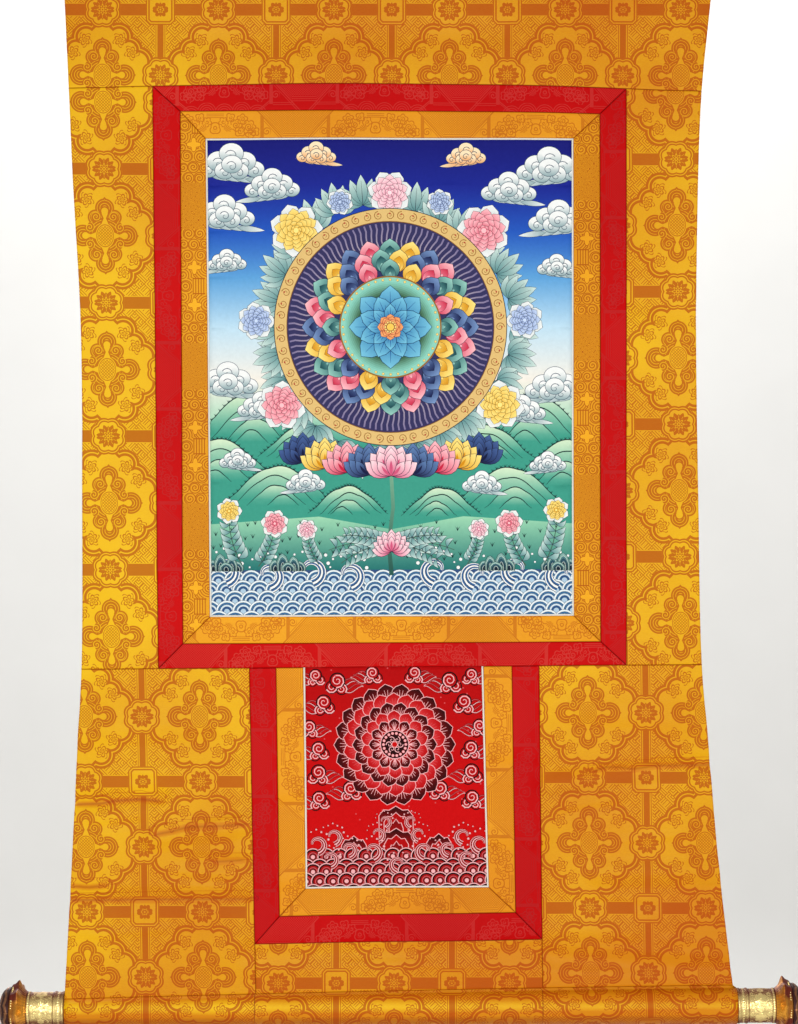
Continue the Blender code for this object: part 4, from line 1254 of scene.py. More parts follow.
def stitch_door(wide, high):
    """Light embroidery on red: a lotus wheel, cloud scrolls, and rocks and waves along the foot."""
    art = Picture(wide, high)
    thread, dull, black, red, bright = (240, 172, 174), (204, 76, 80), (40, 6, 10), (172, 4, 10), (196, 6, 12)
    art.shape(np.array([(0, 0), (wide, 0), (wide, high), (0, high)], float), red, bright, (0, 0),
              (0, high * 0.6))
    cx, cy = wide / 2.0, high * 0.355
    for side in (-1.0, 1.0):
        for x, y, size, flip in ((26, 10, 8.5, 1), (58, 19, 10, -1), (88, 12, 8, 1), (80, 42, 9.5, 1),
                                 (90, 68, 8.5, -1),
                                 (86, 92, 9, 1), (80, 118, 9.5, -1), (52, 136, 9.5, 1), (86, 146, 9, 1)):
            scroll_cloud(art, cx + side * x, y, size, -side * flip, thread, dull, black)
    for i in range(64):
        px, py = (i * 61.8) % wide, (i * 38.2 + 7.0) % (high * 0.7)
        art.shape(round_points(px, py, 0.9, 7), dull, rise=MID_THREAD)

    # the wheel: rows of outlined petals like scales, with stitched veins
    for row, (reach, count, size, fill) in enumerate(((66.0, 22, 22.0, black), (56.0, 22, 20.0, red),
                                                      (46.0, 18, 18.0, black), (37.0, 14, 16.0, red),
                                                      (28.0, 12, 13.0, black))):
        for i in range(count):
            way = TURN * (i + 0.5 * (row % 2)) / count
            px, py = cx + (reach - size) * math.cos(way), cy + (reach - size) * math.sin(way)
            petal(art, px, py, way, size, size * 0.90, red if fill is black else (226, 84, 84), fill, thread,
                  0.75,
                  1.15, 0.72, rise=HIGH_THREAD)
            for spread in (-0.34, -0.12, 0.12, 0.34):
                end = np.array([px, py]) + toward(way + spread) * size * (0.78 - 0.5 * abs(spread))
                art.stroke([(px, py), tuple((np.array([px, py]) + end) / 2.0), tuple(end)], (0.9, 0.7, 0.4),
                           thread if fill is black else dull, rise=HIGH_THREAD)
    art.drawn(round_points(cx, cy, 15.0, 40), thread, 0.9, black)
    dots(art, cx, cy, 12.2, 18, 1.4, 10, dull, 0.3, thread)
    for k in range(6):
        curl(art, cx + 5.8 * math.cos(TURN * k / 6), cy + 5.8 * math.sin(TURN * k / 6), 3.6, k, thread, 1.0,
             1.2,
             rise=MID_THREAD)
    art.drawn(round_points(cx, cy, 2.8, 16), thread, 0.6, bright)

    # rocks of plates inside each other, behind rows of breaking waves
    for x, top, half in ((cx - 46.0, 184.0, 13.0), (cx + 46.0, 182.0, 13.0), (cx, 152.0, 18.0)):
        for k in range(9):
            share = 1.0 - 0.30 * (k % 3)
            rise_at, peak_y = half * share, top + 7.0 * (k % 3) + 24.0 * (k // 3)
            line = np.array([(x - rise_at, high), (x - rise_at, peak_y + 10.0),
                             (x - rise_at * 0.72, peak_y + 4.0),
                             (x - rise_at * 0.4, peak_y + 4.5), (x, peak_y),
                             (x + rise_at * 0.4, peak_y + 4.5),
                             (x + rise_at * 0.72, peak_y + 4.0), (x + rise_at, peak_y + 10.0),
                             (x + rise_at, high)])
            art.drawn(line, thread, 0.9, (black, red, (112, 6, 12))[k % 3], red, (x, peak_y),
                      (x, peak_y + 20.0), MID_THREAD)
    bands = [thread, black, red, dull, (120, 6, 12), thread]
    for row, y in enumerate((206, 215, 224, 233, 242)):
        waves(art, y + 2.5 * math.sin(2.0 * row), 9.6, bands, black, 0.5 * (row % 2), MID_THREAD)
    for i, (x, y, size) in enumerate(((84, 168, 7), (114, 168, 7), (76, 182, 8), (122, 182, 8), (28, 184, 9),
                                      (170, 184, 9), (10, 192, 10), (188, 192, 10), (44, 198, 9),
                                      (154, 198, 9),
                                      (70, 200, 10), (128, 200, 10), (24, 208, 9), (174, 208, 9),
                                      (99, 214, 9))):
        breaker(art, x, y, size, 1.0 if x < cx else -1.0, (150, 8, 14), thread, black, HIGH_THREAD)
    return art


def picture_cloth(name, art, step, sides, levels, finishes, thick, hangs_from):
    """A cloth whose front carries the shapes of a picture, cut into one sheet of triangles."""
    flat, faces, shown = art.cut(step)
    table = np.array(art.paints)

    def spread(points):
        share = points / (art.wide, art.high)
        return place(sides, levels, share[:, 0], share[:, 1])

    x, depth = spread(flat)
    paint = table[shown]
    corners = flat[faces]
    start, end = paint[:, None, 6:8], paint[:, None, 8:10]
    run = np.sum((corners - start) * (end - start), 2) / np.sum((end - start) ** 2, 2)
    colour = mix(paint[:, None, 0:3], paint[:, None, 3:6], np.clip(run, 0.0, 1.0)[:, :, None])
    rise = np.zeros(len(flat))
    np.maximum.at(rise, faces.ravel(), np.repeat(paint[:, 10], 3))
    low = np.full(len(flat), 1.0)
    np.minimum.at(low, faces.ravel(), np.repeat(paint[:, 10], 3))
    roll = seam_roll(sides, levels, x, depth) * ROLL_DROP * thick
    middle = surface(x, depth)
    front = np.stack([x, middle - thick / 2.0 + roll - np.minimum(rise, low), -depth], 1)

    # the back is a plain net of triangles with the same rim
    edges = np.vstack([faces[:, [0, 1]], faces[:, [1, 2]], faces[:, [2, 0]]])
    seen = {tuple(e) for e in edges.tolist()}
    onward = {a: b for a, b in seen if (b, a) not in seen}
    first = next(iter(onward))
    loop = [first]
    while onward[loop[-1]] != first:
        loop.append(onward[loop[-1]])
    rim = flat[loop]
    inner = [(i, j) for i in np.arange(8.0, art.wide - 7.0, 8.0) for j in np.arange(8.0, art.high - 7.0, 8.0)]
    points = [Vector(p) for p in rim] + [Vector(p) for p in inner]
    behind, _, back_faces, source, _, _ = delaunay_2d_cdt(points, [], [list(range(len(rim)))], 1, 0.0001,
                                                          True)
    behind = np.array([tuple(p) for p in behind])
    back_x, back_depth = spread(behind)
    back = np.stack([back_x, surface(back_x, back_depth) + thick / 2.0, -back_depth], 1)
    count = len(flat)
    home = {old: new for new, olds in enumerate(source) for old in olds}
    walls = []
    for i, a in enumerate(loop):
        j = (i + 1) % len(loop)
        walls.append((loop[j], a, count + home[i], count + home[j]))
    every = [f[::-1] for f in faces.tolist()] + [tuple(count + v for v in f) for f in back_faces] + walls
    coords = np.vstack([flat, behind])
    obj = add_piece(name + "_cloth", np.vstack([front, back]), every, finishes, len(faces), coords)
    tint = np.ones((len(obj.data.loops), 4))
    tint[:len(faces) * 3, :3] = (colour[:, ::-1].reshape(-1, 3) / 255.0) ** 2.2
    layer = obj.data.attributes.new("Paint", "FLOAT_COLOR", "CORNER")
    layer.data.foreach_set("color", tint.astype(np.float32).ravel())
    spans = front[faces]
    area = np.linalg.norm(np.cross(spans[:, 1] - spans[:, 0], spans[:, 2] - spans[:, 0]), axis=1).sum() / 2.0
    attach(obj, "root")
    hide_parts(name)
    size = (np.ptp(x), np.ptp(depth))
    sheets.append((obj, (size[0] * 1.002, size[1] * 1.002), min(area, size[0] * size[1]), hangs_from))
    return obj


# Finishes


def new_finish(name):
    finish = bpy.data.materials.new(name)
    finish.use_nodes = True
    return finish, finish.node_tree, finish.node_tree.nodes["Principled BSDF"]


def pattern_place(tree):
    """The two pattern coordinates of a cloth, in mm."""
    where = tree.nodes.new("ShaderNodeUVMap")
    where.uv_map = "Pattern"
    parts = tree.nodes.new("ShaderNodeSeparateXYZ")
    tree.links.new(where.outputs[0], parts.inputs[0])
    return Field(tree, parts.outputs[0]), Field(tree, parts.outputs[1])


def grain(tree, scale, detail=2.0, stretch=(1.0, 1.0, 1.0)):
    """Uneven noise fixed to the object, from 0 to 1. The scale is in crests per metre."""
    where = tree.nodes.new("ShaderNodeTexCoord")
    move = tree.nodes.new("ShaderNodeMapping")
    move.inputs["Scale"].default_value = stretch
    noise = tree.nodes.new("ShaderNodeTexNoise")
    noise.inputs["Scale"].default_value = scale
    noise.inputs["Detail"].default_value = detail
    tree.links.new(where.outputs["Object"], move.inputs["Vector"])
    tree.links.new(move.outputs[0], noise.inputs["Vector"])
    return Field(tree, noise.outputs["Fac"])


def blend(tree, share, low, high):
    """The socket of a colour between two others, each a colour or a socket."""
    made = tree.nodes.new("ShaderNodeMix")
    made.data_type = "RGBA"
    tree.links.new(share.socket, made.inputs["Factor"])
    for slot, colour in ((made.inputs[6], low), (made.inputs[7], high)):
        if isinstance(colour, tuple):
            slot.default_value = (*colour, 1.0)
        else:
            tree.links.new(colour, slot)
    return made.outputs[2]


def relief(tree, shader, height, distance, strength=1.0):
    bump = tree.nodes.new("ShaderNodeBump")
    bump.inputs["Strength"].default_value = strength
    bump.inputs["Distance"].default_value = distance
    tree.links.new(height.socket, bump.inputs["Height"])
    tree.links.new(bump.outputs[0], shader.inputs["Normal"])


def threads(u, v, across=0.62, down=0.50):
    """The height of crossing threads, from 0 to 1."""
    warp, weft = u.sine(TURN / across), v.sine(TURN / down)
    return (warp * weft + warp * 0.4 + weft * 0.6) * 0.25 + 0.5


def stored(tree, name):
    """A number stored on the cloth's points."""
    made = tree.nodes.new("ShaderNodeAttribute")
    made.attribute_name = name
    return Field(tree, made.outputs["Fac"])


def painted_sheen_and_shade(tree):
    """Painted sheen and shade of the satin, from yellow where it catches the light to orange: more orange to
    the right, at the top and foot, and in broad random patches.
    """
    where = tree.nodes.new("ShaderNodeTexCoord")
    parts = tree.nodes.new("ShaderNodeSeparateXYZ")
    tree.links.new(where.outputs["Object"], parts.inputs[0])
    x, z = Field(tree, parts.outputs[0]), Field(tree, parts.outputs[2]) + 0.5
    return x * 0.62 + z * z * 2.1 + grain(tree, 7.0, 1.0) * 1.3 - 0.45


def woven(name, figure, ground, raised, wear_and_shade, shine, reverse=False):
    """A figured silk weave. ground and raised are each the colour where the satin catches the light and the
    orange of its painted shade.
    """
    finish, tree, shader = new_finish(name)
    u, v = pattern_place(tree)
    mask = figure(u, v)
    if reverse:
        mask = mask * -1.0 + 1.0
    slub = grain(tree, 420.0, 2.0, (1.0, 1.0, 4.0))
    pressed = abs(stored(tree, "Pressed"))
    # painted sheen and shade: the blend from lit yellow to shaded orange follows x and height, broad patches,
    # bands beside pressed creases and the sleeve's turn round the rod, with random slub added
    sheen_shade_and_slub = painted_sheen_and_shade(tree) + slub * 0.5 + stored(tree, "Turned") + pressed.below(2.4, 4.4) * 0.9 - 0.25
    sheen_shade_and_slub = sheen_shade_and_slub.node("MULTIPLY", 1.0, clamp=True)
    base = blend(tree, sheen_shade_and_slub, ground[0], ground[1])
    lines = blend(tree, sheen_shade_and_slub, raised[0], raised[1])
    # painted shade in the cores of pressed creases and where the sleeve turns away round the rod, and darker
    # along sewn seams, all blended toward the last colour
    shade = pressed.below(0.9, 2.2) * 0.42
    shade = shade.most(stored(tree, "Sewn").below(0.4, 0.9)).most(stored(tree, "Turned") * 0.9 - 0.45)
    cloth_colour = blend(tree, mask, base, lines)
    tree.links.new(blend(tree, shade, cloth_colour, wear_and_shade), shader.inputs["Base Color"])
    rough = mask * (shine[1] - shine[0]) + shine[0] + slub * 0.08
    tree.links.new(rough.socket, shader.inputs["Roughness"])
    shader.inputs["Specular IOR Level"].default_value = shine[2]
    relief(tree, shader, threads(u, v) + slub * 0.5, 0.00012, 0.7)
    return finish


def painted(name, rough, weave, shine, gloss=0.0):
    """A cloth that takes its colours from the shapes painted or stitched on it."""
    finish, tree, shader = new_finish(name)
    paint = tree.nodes.new("ShaderNodeVertexColor")
    paint.layer_name = "Paint"
    u, v = pattern_place(tree)
    wear_and_shade = grain(tree, 260.0, 3.0)
    fade = (wear_and_shade * 0.5 - 0.14).node("MULTIPLY", 1.0, clamp=True)
    darker = tree.nodes.new("ShaderNodeHueSaturation")
    darker.inputs["Value"].default_value = 0.72
    tree.links.new(paint.outputs[0], darker.inputs["Color"])
    tree.links.new(blend(tree, fade, paint.outputs[0], darker.outputs[0]), shader.inputs["Base Color"])
    tree.links.new((wear_and_shade * 0.12 + rough).socket, shader.inputs["Roughness"])
    shader.inputs["Specular IOR Level"].default_value = shine
    shader.inputs["Sheen Weight"].default_value = gloss
    relief(tree, shader, threads(u, v, *weave) + wear_and_shade * 0.4, 0.00008, 0.6)
    return finish


def plain_cloth(name, colour, dull, weave, rough=0.8):
    """An unpatterned weave."""
    finish, tree, shader = new_finish(name)
    u, v = pattern_place(tree)
    height = threads(u, v, *weave)
    wear_and_shade = grain(tree, 130.0, 3.0)
    # painted shade: darker where the threads dip, mixed with random patches of tone
    tree.links.new(blend(tree, (height * 0.4 + wear_and_shade * 0.6).node("MULTIPLY", 1.0, clamp=True), dull, colour),
                   shader.inputs["Base Color"])
    tree.links.new((wear_and_shade * 0.15 + rough).socket, shader.inputs["Roughness"])
    relief(tree, shader, height + wear_and_shade * 0.5, 0.0001, 0.7)
    return finish


def gilded(name, bright, dark):
    """Gilt brass: bright on what stands proud, brown with patina in the hollows, and darker in painted shade
    towards the top and bottom of each piece, which leaves a painted highlight across its middle.
    """
    finish, tree, shader = new_finish(name)
    rub = grain(tree, 180.0, 4.0)
    # patina in the hollows, random rubbing, and painted shade towards the top and bottom of each piece
    patina_and_shade = stored(tree, "Hollow") * 0.80 + stored(tree, "Aged") * 0.72 + rub * 0.6 - 0.46
    patina_and_shade = patina_and_shade.node("MULTIPLY", 1.0, clamp=True)
    tree.links.new(blend(tree, patina_and_shade, bright, dark), shader.inputs["Base Color"])
    tree.links.new((patina_and_shade * 0.24 + rub * 0.16 + 0.20).socket, shader.inputs["Roughness"])
    tree.links.new((patina_and_shade * -0.45 + 0.92).socket, shader.inputs["Metallic"])
    relief(tree, shader, rub, 0.00016, 0.5)
    return finish


def turned_wood(name):
    """Pale turned wood with its grain along the rod."""
    finish, tree, shader = new_finish(name)
    streak = grain(tree, 160.0, 5.0, (0.06, 1.0, 1.0))
    tree.links.new(blend(tree, streak, linear(126, 86, 50), linear(186, 142, 94)),
                   shader.inputs["Base Color"])
    tree.links.new((streak * 0.2 + 0.5).socket, shader.inputs["Roughness"])
    relief(tree, shader, streak, 0.0003, 0.4)
    return finish


# Roller


def make_sleeve(finishes, patterns):
    """The brocade round the rod, with the flap that is sewn to the panels above."""
    steps = 72
    seams = [(x - SLEEVE_LEFT_X) / (SLEEVE_RIGHT_X - SLEEVE_LEFT_X) for x in SLEEVE_JOINS]
    share = np.sort(np.r_[np.linspace(0.0, 1.0, 110),
                          [at + side for at in seams for side in (-0.0001, 0.0001)]])
    columns = len(share)
    ring_x = mix(SLEEVE_LEFT_X, SLEEVE_RIGHT_X, share)
    run = (ring_x - AXIS_LEFT.x) / (AXIS_RIGHT.x - AXIS_LEFT.x)
    axis_y, axis_z = mix(AXIS_LEFT.y, AXIS_RIGHT.y, run), mix(AXIS_LEFT.z, AXIS_RIGHT.z, run)
    seam, half = ROLLER_SEAM, BROCADE_THICK / 2.0
    tab_x = mix(float(EDGE_LEFT.at(seam.start[1])) + 0.0002, float(EDGE_RIGHT.at(seam.end[1])) - 0.0002,
                share)
    tab_top = -seam.moved(tab_x, -0.00005)
    front, back = np.arcsin((-half - axis_y) / SLEEVE_RADIUS), np.arcsin((half - axis_y) / SLEEVE_RADIUS)
    t = np.linspace(0.0, 1.0, steps + 1)
    turn = front[:, None] - (TURN - (back - front))[:, None] * t[None, :]
    slack = 0.00035 * np.sin(turn * 3.0 + 40.0 * ring_x[:, None]) * np.sin(TURN * ring_x[:,
                                                                                         None] / 0.11 + turn)
    slack = slack + 0.00025 * np.sin(TURN * ring_x[:, None] / 0.023 + 3.0 * turn)
    reach = SLEEVE_RADIUS + slack * np.sin(math.pi * t)[None, :] ** 0.5
    ring = np.stack([ring_x[:, None] + 0.0 * turn, axis_y[:, None] + reach * np.sin(turn),
                     axis_z[:, None] + reach * np.cos(turn)], 2)
    inside = SLEEVE_RADIUS - SLEEVE_THICK
    lining = np.stack([ring_x[:, None] + 0.0 * turn, axis_y[:, None] + inside * np.sin(turn),
                       axis_z[:, None] + inside * np.cos(turn)], 2)
    pucker = 0.0003 * np.sin(TURN * tab_x / 0.017 + 2.4 * np.sin(TURN * tab_x / 0.09))

    def tab(y, sink):
        top = np.stack([tab_x, y + sink + pucker, tab_top], 1)
        return top

    fore, rear = tab(-half, 0.0008), tab(half, -0.0008)
    neck_front, neck_rear = mix(fore, ring[:, 0], 0.35), mix(rear, ring[:, -1], 0.35)
    neck_front[:, 1], neck_rear[:, 1] = -half + pucker * 0.5, half + pucker * 0.5
    outer = np.concatenate([ring, neck_rear[:, None], rear[:, None], fore[:, None], neck_front[:, None]], 1)
    gap = [mix(lining[:, -1], lining[:, 0], k) for k in (0.2, 0.4, 0.6, 0.8)]
    inner = np.concatenate([lining, np.stack(gap, 1)], 1)
    around = outer.shape[1]
    path = np.concatenate([fore[:, None], neck_front[:, None], ring, neck_rear[:, None], rear[:, None]], 1)
    arc = np.r_[0.0, np.cumsum(np.linalg.norm(np.diff(path, axis=1), axis=2).mean(0))]
    arc = np.r_[arc[2:], arc[0], arc[1]]
    index = np.arange(columns * around).reshape(columns, around)
    quads = []
    for grid, flip in ((index, False), (index + columns * around, True)):
        nxt = np.roll(grid, -1, 1)
        quad = np.stack([grid[:-1], nxt[:-1], nxt[1:], grid[1:]], 2).reshape(-1, 4)
        quads.append(quad[:, ::-1] if flip else quad)
    for end in (0, columns - 1):
        a, b = index[end], np.roll(index[end], -1)
        quads.append(np.stack([a, a + columns * around, b + columns * around, b], 1))
    across, down = ring_x[:, None] + 0.0 * arc[None, :], arc[None, :] + seam.at(ring_x)[:, None]
    panel = np.searchsorted(SLEEVE_JOINS, ring_x)[:, None] + 0 * np.arange(around)
    u, v = (np.choose(panel, [pattern(across, down)[k] for pattern in patterns]) for k in (0, 1))
    coords = np.stack([u.ravel(), v.ravel()], 1)
    points = np.vstack([outer.reshape(-1, 3), inner.reshape(-1, 3)])
    obj = add_piece("roller_sleeve_cloth", points, np.vstack(quads), finishes, len(quads[0]),
                    np.vstack([coords, coords]))
    outwards(obj)
    away = np.min([np.abs(ring_x - x) for x in SLEEVE_JOINS], axis=0) / MM
    add_values(obj, "Sewn", (away[:, None] + 0.0 * arc).ravel())
    add_values(obj, "Pressed", np.full(outer.size // 3, 9.0))
    # painted shade and highlight round the rod: darker over its top and below its axis, lighter in a band a
    # little above the axis
    level = (outer[:, :, 2] - axis_z[:, None]) / SLEEVE_RADIUS
    turned = 0.62 * smooth((level - 0.5) / 0.35) + 0.95 * smooth((0.0 - level) / 0.55)
    turned = turned - 0.75 * np.exp(-((level - 0.22) / 0.26) ** 2)
    add_values(obj, "Turned", turned.ravel())
    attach(obj, "root")
    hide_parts("roller_sleeve")
    flat = (SLEEVE_RIGHT_X - SLEEVE_LEFT_X, float(arc.max()))
    sheets.append((obj, flat, None, ["roller_rod"]))
    return obj


def outwards(obj):
    """Turns the faces of a closed piece outwards."""
    bm = bmesh.new()
    bm.from_mesh(obj.data)
    bmesh.ops.recalc_face_normals(bm, faces=bm.faces[:])
    bm.to_mesh(obj.data)
    bm.free()


FERRULE_SHAPE = [
    # distance along, radius
    (0.0000, 0.0182), (0.0006, 0.0190), (0.0018, 0.0193), (0.0030, 0.0190), (0.0036, 0.0184),
    (0.0044, 0.0184), (0.0085, 0.0184), (0.0092, 0.0190), (0.0104, 0.0193), (0.0116, 0.0190),
    (0.0122, 0.0183), (0.0375, 0.0183), (0.0382, 0.0187), (0.0396, 0.0190), (0.0410, 0.0188),
]
CROWN_SHAPE = [
    (0.0000, 0.0188), (0.0020, 0.0199), (0.0045, 0.0221), (0.0068, 0.0248), (0.0080, 0.0262),
    (0.0090, 0.0269), (0.0100, 0.0266), (0.0118, 0.0255), (0.0135, 0.0249), (0.0150, 0.0247),
    (0.0162, 0.0244), (0.0172, 0.0238),
]
CAP_SHAPE = [
    (0.0000, 0.0237), (0.0010, 0.0244), (0.0022, 0.0243), (0.0040, 0.0238), (0.0056, 0.0229),
    (0.0072, 0.0215), (0.0088, 0.0196), (0.0104, 0.0171), (0.0118, 0.0139), (0.0130, 0.0101),
    (0.0139, 0.0056), (0.0144, 0.0020), (0.0145, 0.0001),
]


def ferrule_relief(along, turn):
    """Two beaded rings, and a band of scrolling flowers between them. Heights in metres, along in mm."""
    around = turn * 18.3
    bead = np.zeros_like(along)
    for place_along, count in ((6.4, 40), (39.2, 44)):
        pitch = TURN * 18.3 / count
        beside = (around + pitch / 2.0) % pitch - pitch / 2.0
        bead = np.maximum(bead,
                          np.clip(1.0 - (beside / 1.25) ** 2 - ((along - place_along) / 1.35) ** 2, 0, None))
    height = 0.55 * np.sqrt(bead)
    pitch = TURN * 18.3 / 5
    for shift, centre, size in ((0.0, 25.0, 7.6), (0.5, 25.0, 4.6)):
        beside = (around + shift * pitch + pitch / 2.0) % pitch - pitch / 2.0
        radius, way = np.hypot(beside, along - centre), np.arctan2(along - centre, beside)
        petals = size * (0.72 + 0.28 * np.abs(np.cos(way * 3.0)))
        flower = smooth((petals - radius) / 0.9) * (0.55 + 0.45 * np.cos(radius * 2.1) ** 2)
        flower = flower * (1.0 - 0.6 * smooth((1.6 - radius) / 0.5)) + 0.8 * smooth((1.1 - radius) / 0.5)
        height = np.maximum(height, 0.62 * flower)
    vine = np.abs(along - 25.0 - 8.2 * np.cos(TURN * around / pitch * 1.0))
    height = np.maximum(height, 0.5 * smooth((1.0 - vine) / 0.7) * smooth((36.5 - along) / 0.8))
    for centre, offset in ((16.0, 0.25), (34.0, 0.25), (16.0, 0.75), (34.0, 0.75)):
        beside = (around + offset * pitch + pitch / 2.0) % pitch - pitch / 2.0
        radius, way = np.hypot(beside, along - centre), np.arctan2(along - centre, beside)
        coil = 0.5 + 0.5 * np.cos(radius * 2.4 - way * 1.0)
        height = np.maximum(height, 0.5 * coil * smooth((3.2 - radius) / 0.6))
    waves = (np.sin(along * 1.75 + 1.3 * np.sin(turn * 17.0))
             + np.sin(turn * 33.0 + 1.3 * np.sin(along * 1.05)))
    height = np.maximum(height, 0.36 * (0.5 + 0.5 * np.cos(waves * 4.0)))
    band = smooth((along - 12.4) / 0.6) * smooth((37.4 - along) / 0.6)
    return (height * np.where(along > 11.8, np.where(along < 37.8, band, 1.0), 1.0)) * MM


def crown_relief(along, turn):
    """Veined petals with a chased ground."""
    phase = (turn / TURN * PETALS) % 1.0
    vein = np.cos(TURN * phase) * 0.5 + 0.5
    ribs = 0.5 + 0.5 * np.cos(TURN * phase * 5.0)
    height = (0.30 * vein * smooth((along - 2.0) / 3.0) * smooth((9.2 - along) / 0.8)
              + 0.16 * ribs * smooth((9.0 - along) / 1.0))
    waves = np.sin(along * 1.9 + 1.2 * np.sin(turn * 20.0)) + np.sin(turn * 40.0 + 1.2 * np.sin(along * 1.2))
    return (height + 0.26 * (0.5 + 0.5 * np.cos(waves * 4.0)) * smooth((12.0 - along) / 1.0)) * MM


def cap_relief(along, turn):
    """A chased flower on the dome."""
    petals = np.abs(np.cos(turn * 4.0))
    rows = 0.5 + 0.5 * np.cos(along * 1.15 + 2.2 * petals)
    fine = 0.5 + 0.5 * np.cos(turn * 24.0 + np.sin(along * 1.6) * 2.0)
    return (0.34 * rows + 0.16 * fine * rows) * smooth(along / 2.0) * smooth((14.0 - along) / 1.5) * MM


def turned_piece(name, node, shape, relief_of, start, outward, finish, around, along_step, bore,
                 petal_turn=None):
    """A turned and chased piece round the roller's axis, from its rows of (distance along, radius)."""
    shape = np.array(shape)
    run = np.r_[0.0, np.cumsum(np.hypot(*np.diff(shape, axis=0).T))]
    rows = np.linspace(0.0, run[-1], round(run[-1] / along_step) + 1)
    along, radius = np.interp(rows, run, shape[:, 0]), np.interp(rows, run, shape[:, 1])
    lift = np.sin(np.linspace(0.0, math.pi, len(rows))) ** 0.15
    turn = np.arange(around) * TURN / around
    raised = relief_of(along[:, None] / MM + 0.0 * turn, turn[None, :] + 0.0 * along[:, None])
    raised = raised * smooth(lift * 1.2)[:, None]
    reach = radius[:, None] + raised - raised.max() * 0.45
    if petal_turn is not None:
        share = smooth((radius - 0.0215) / 0.0055)[:, None]
        phase = (turn / TURN + petal_turn) * PETALS % 1.0
        reach = reach + 0.0050 * share * np.abs(2.0 * phase - 1.0)[None, :] ** 1.4
    outside = np.stack([reach * np.cos(turn), reach * np.sin(turn), along[:, None] + 0.0 * reach], 2)
    if bore:
        back = np.linspace(along[-1], along[0], 4)[:, None]
        inside = np.stack([bore * np.cos(turn) + 0.0 * back, bore * np.sin(turn) + 0.0 * back,
                           back + 0.0 * turn], 2)
        rings = np.concatenate([outside, inside])
    else:
        base = np.array([0.6, 0.2])[:, None] * radius[0]
        inside = np.stack([base * np.cos(turn), base * np.sin(turn), 0.0 * base + 0.0 * turn], 2)
        rings = np.concatenate([outside, inside[::-1]])
        rings = np.concatenate([inside[::-1], outside])
    count = len(rings)
    index = np.arange(count * around).reshape(count, around)
    below = index if not bore else np.vstack([index, index[:1]])
    nxt = np.roll(below, -1, 1)
    quads = np.stack([below[:-1], nxt[:-1], nxt[1:], below[1:]], 2).reshape(-1, 4).tolist()
    if not bore:
        quads.append(index[0].tolist())
        quads.append(index[-1].tolist())
    hollow = np.zeros((count, around))
    first = 0 if bore else 2
    top = max(float(raised.max()), 1e-6)
    hollow[first:first + len(rows)] = 1.0 - smooth(raised / top * 1.5)
    local = rings.reshape(-1, 3)
    spin = np.array(outward.to_track_quat("Z", "Y").to_matrix())
    points = local @ spin.T + np.array(start)
    obj = add_piece(name, points, quads, [finish])
    outwards(obj)
    level = (points[:, 2] - start[2]) / radius.min()
    add_values(obj, "Hollow", hollow.ravel())
    # painted shade: darker towards the top and bottom of each turned piece, brightest in a band just above its
    # axis
    add_values(obj, "Aged", smooth((np.abs(level - 0.1) - 0.40) / 0.5))
    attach(obj, "root")
    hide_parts(node)
    return obj


def bead_row_tree():
    """A node tree that lays beads round a ring, with named inputs for its sizes."""
    tree = bpy.data.node_groups.new("bead_row", "GeometryNodeTree")
    ports = [tree.interface.new_socket(name, in_out="INPUT", socket_type=kind) for name, kind in (
        ("Beads", "NodeSocketInt"), ("Ring radius", "NodeSocketFloat"), ("Bead radius", "NodeSocketFloat"),
        ("Finish", "NodeSocketMaterial"))]
    tree.interface.new_socket("Geometry", in_out="OUTPUT", socket_type="NodeSocketGeometry")
    given, result, ring, bead, row, real, soft, coat = (tree.nodes.new(kind) for kind in (
        "NodeGroupInput", "NodeGroupOutput", "GeometryNodeMeshCircle", "GeometryNodeMeshIcoSphere",
        "GeometryNodeInstanceOnPoints", "GeometryNodeRealizeInstances", "GeometryNodeSetShadeSmooth",
        "GeometryNodeSetMaterial"))
    bead.inputs["Subdivisions"].default_value = 2
    for a, b in ((given.outputs["Beads"], ring.inputs["Vertices"]),
                 (given.outputs["Ring radius"], ring.inputs["Radius"]),
                 (given.outputs["Bead radius"], bead.inputs["Radius"]),
                 (ring.outputs[0], row.inputs["Points"]),
                 (bead.outputs["Mesh"], row.inputs["Instance"]), (row.outputs[0], real.inputs[0]),
                 (real.outputs[0], soft.inputs["Geometry"]), (soft.outputs[0], coat.inputs["Geometry"]),
                 (given.outputs["Finish"], coat.inputs["Material"]), (coat.outputs[0], result.inputs[0])):
        tree.links.new(a, b)
    return tree, [port.identifier for port in ports]


def bead_row(name, tree, ports, centre, outward, sizes, finish):
    """A row of beads soldered round the roller's axis."""
    carrier = bpy.data.objects.new(name + "_carrier", bpy.data.meshes.new(name + "_carrier"))
    bpy.context.scene.collection.objects.link(carrier)
    laid = carrier.modifiers.new("bead_row", "NODES")
    laid.node_group = tree
    for port, value in zip(ports, (*sizes, finish)):
        laid[port] = value
    mesh = bpy.data.meshes.new_from_object(carrier.evaluated_get(bpy.context.evaluated_depsgraph_get()))
    bpy.data.objects.remove(carrier)
    mesh.name = name
    mesh.transform(Matrix.Translation(centre) @ outward.to_track_quat("Z", "Y").to_matrix().to_4x4())
    obj = bpy.data.objects.new(name, mesh)
    bpy.context.scene.collection.objects.link(obj)
    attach(obj, "root")


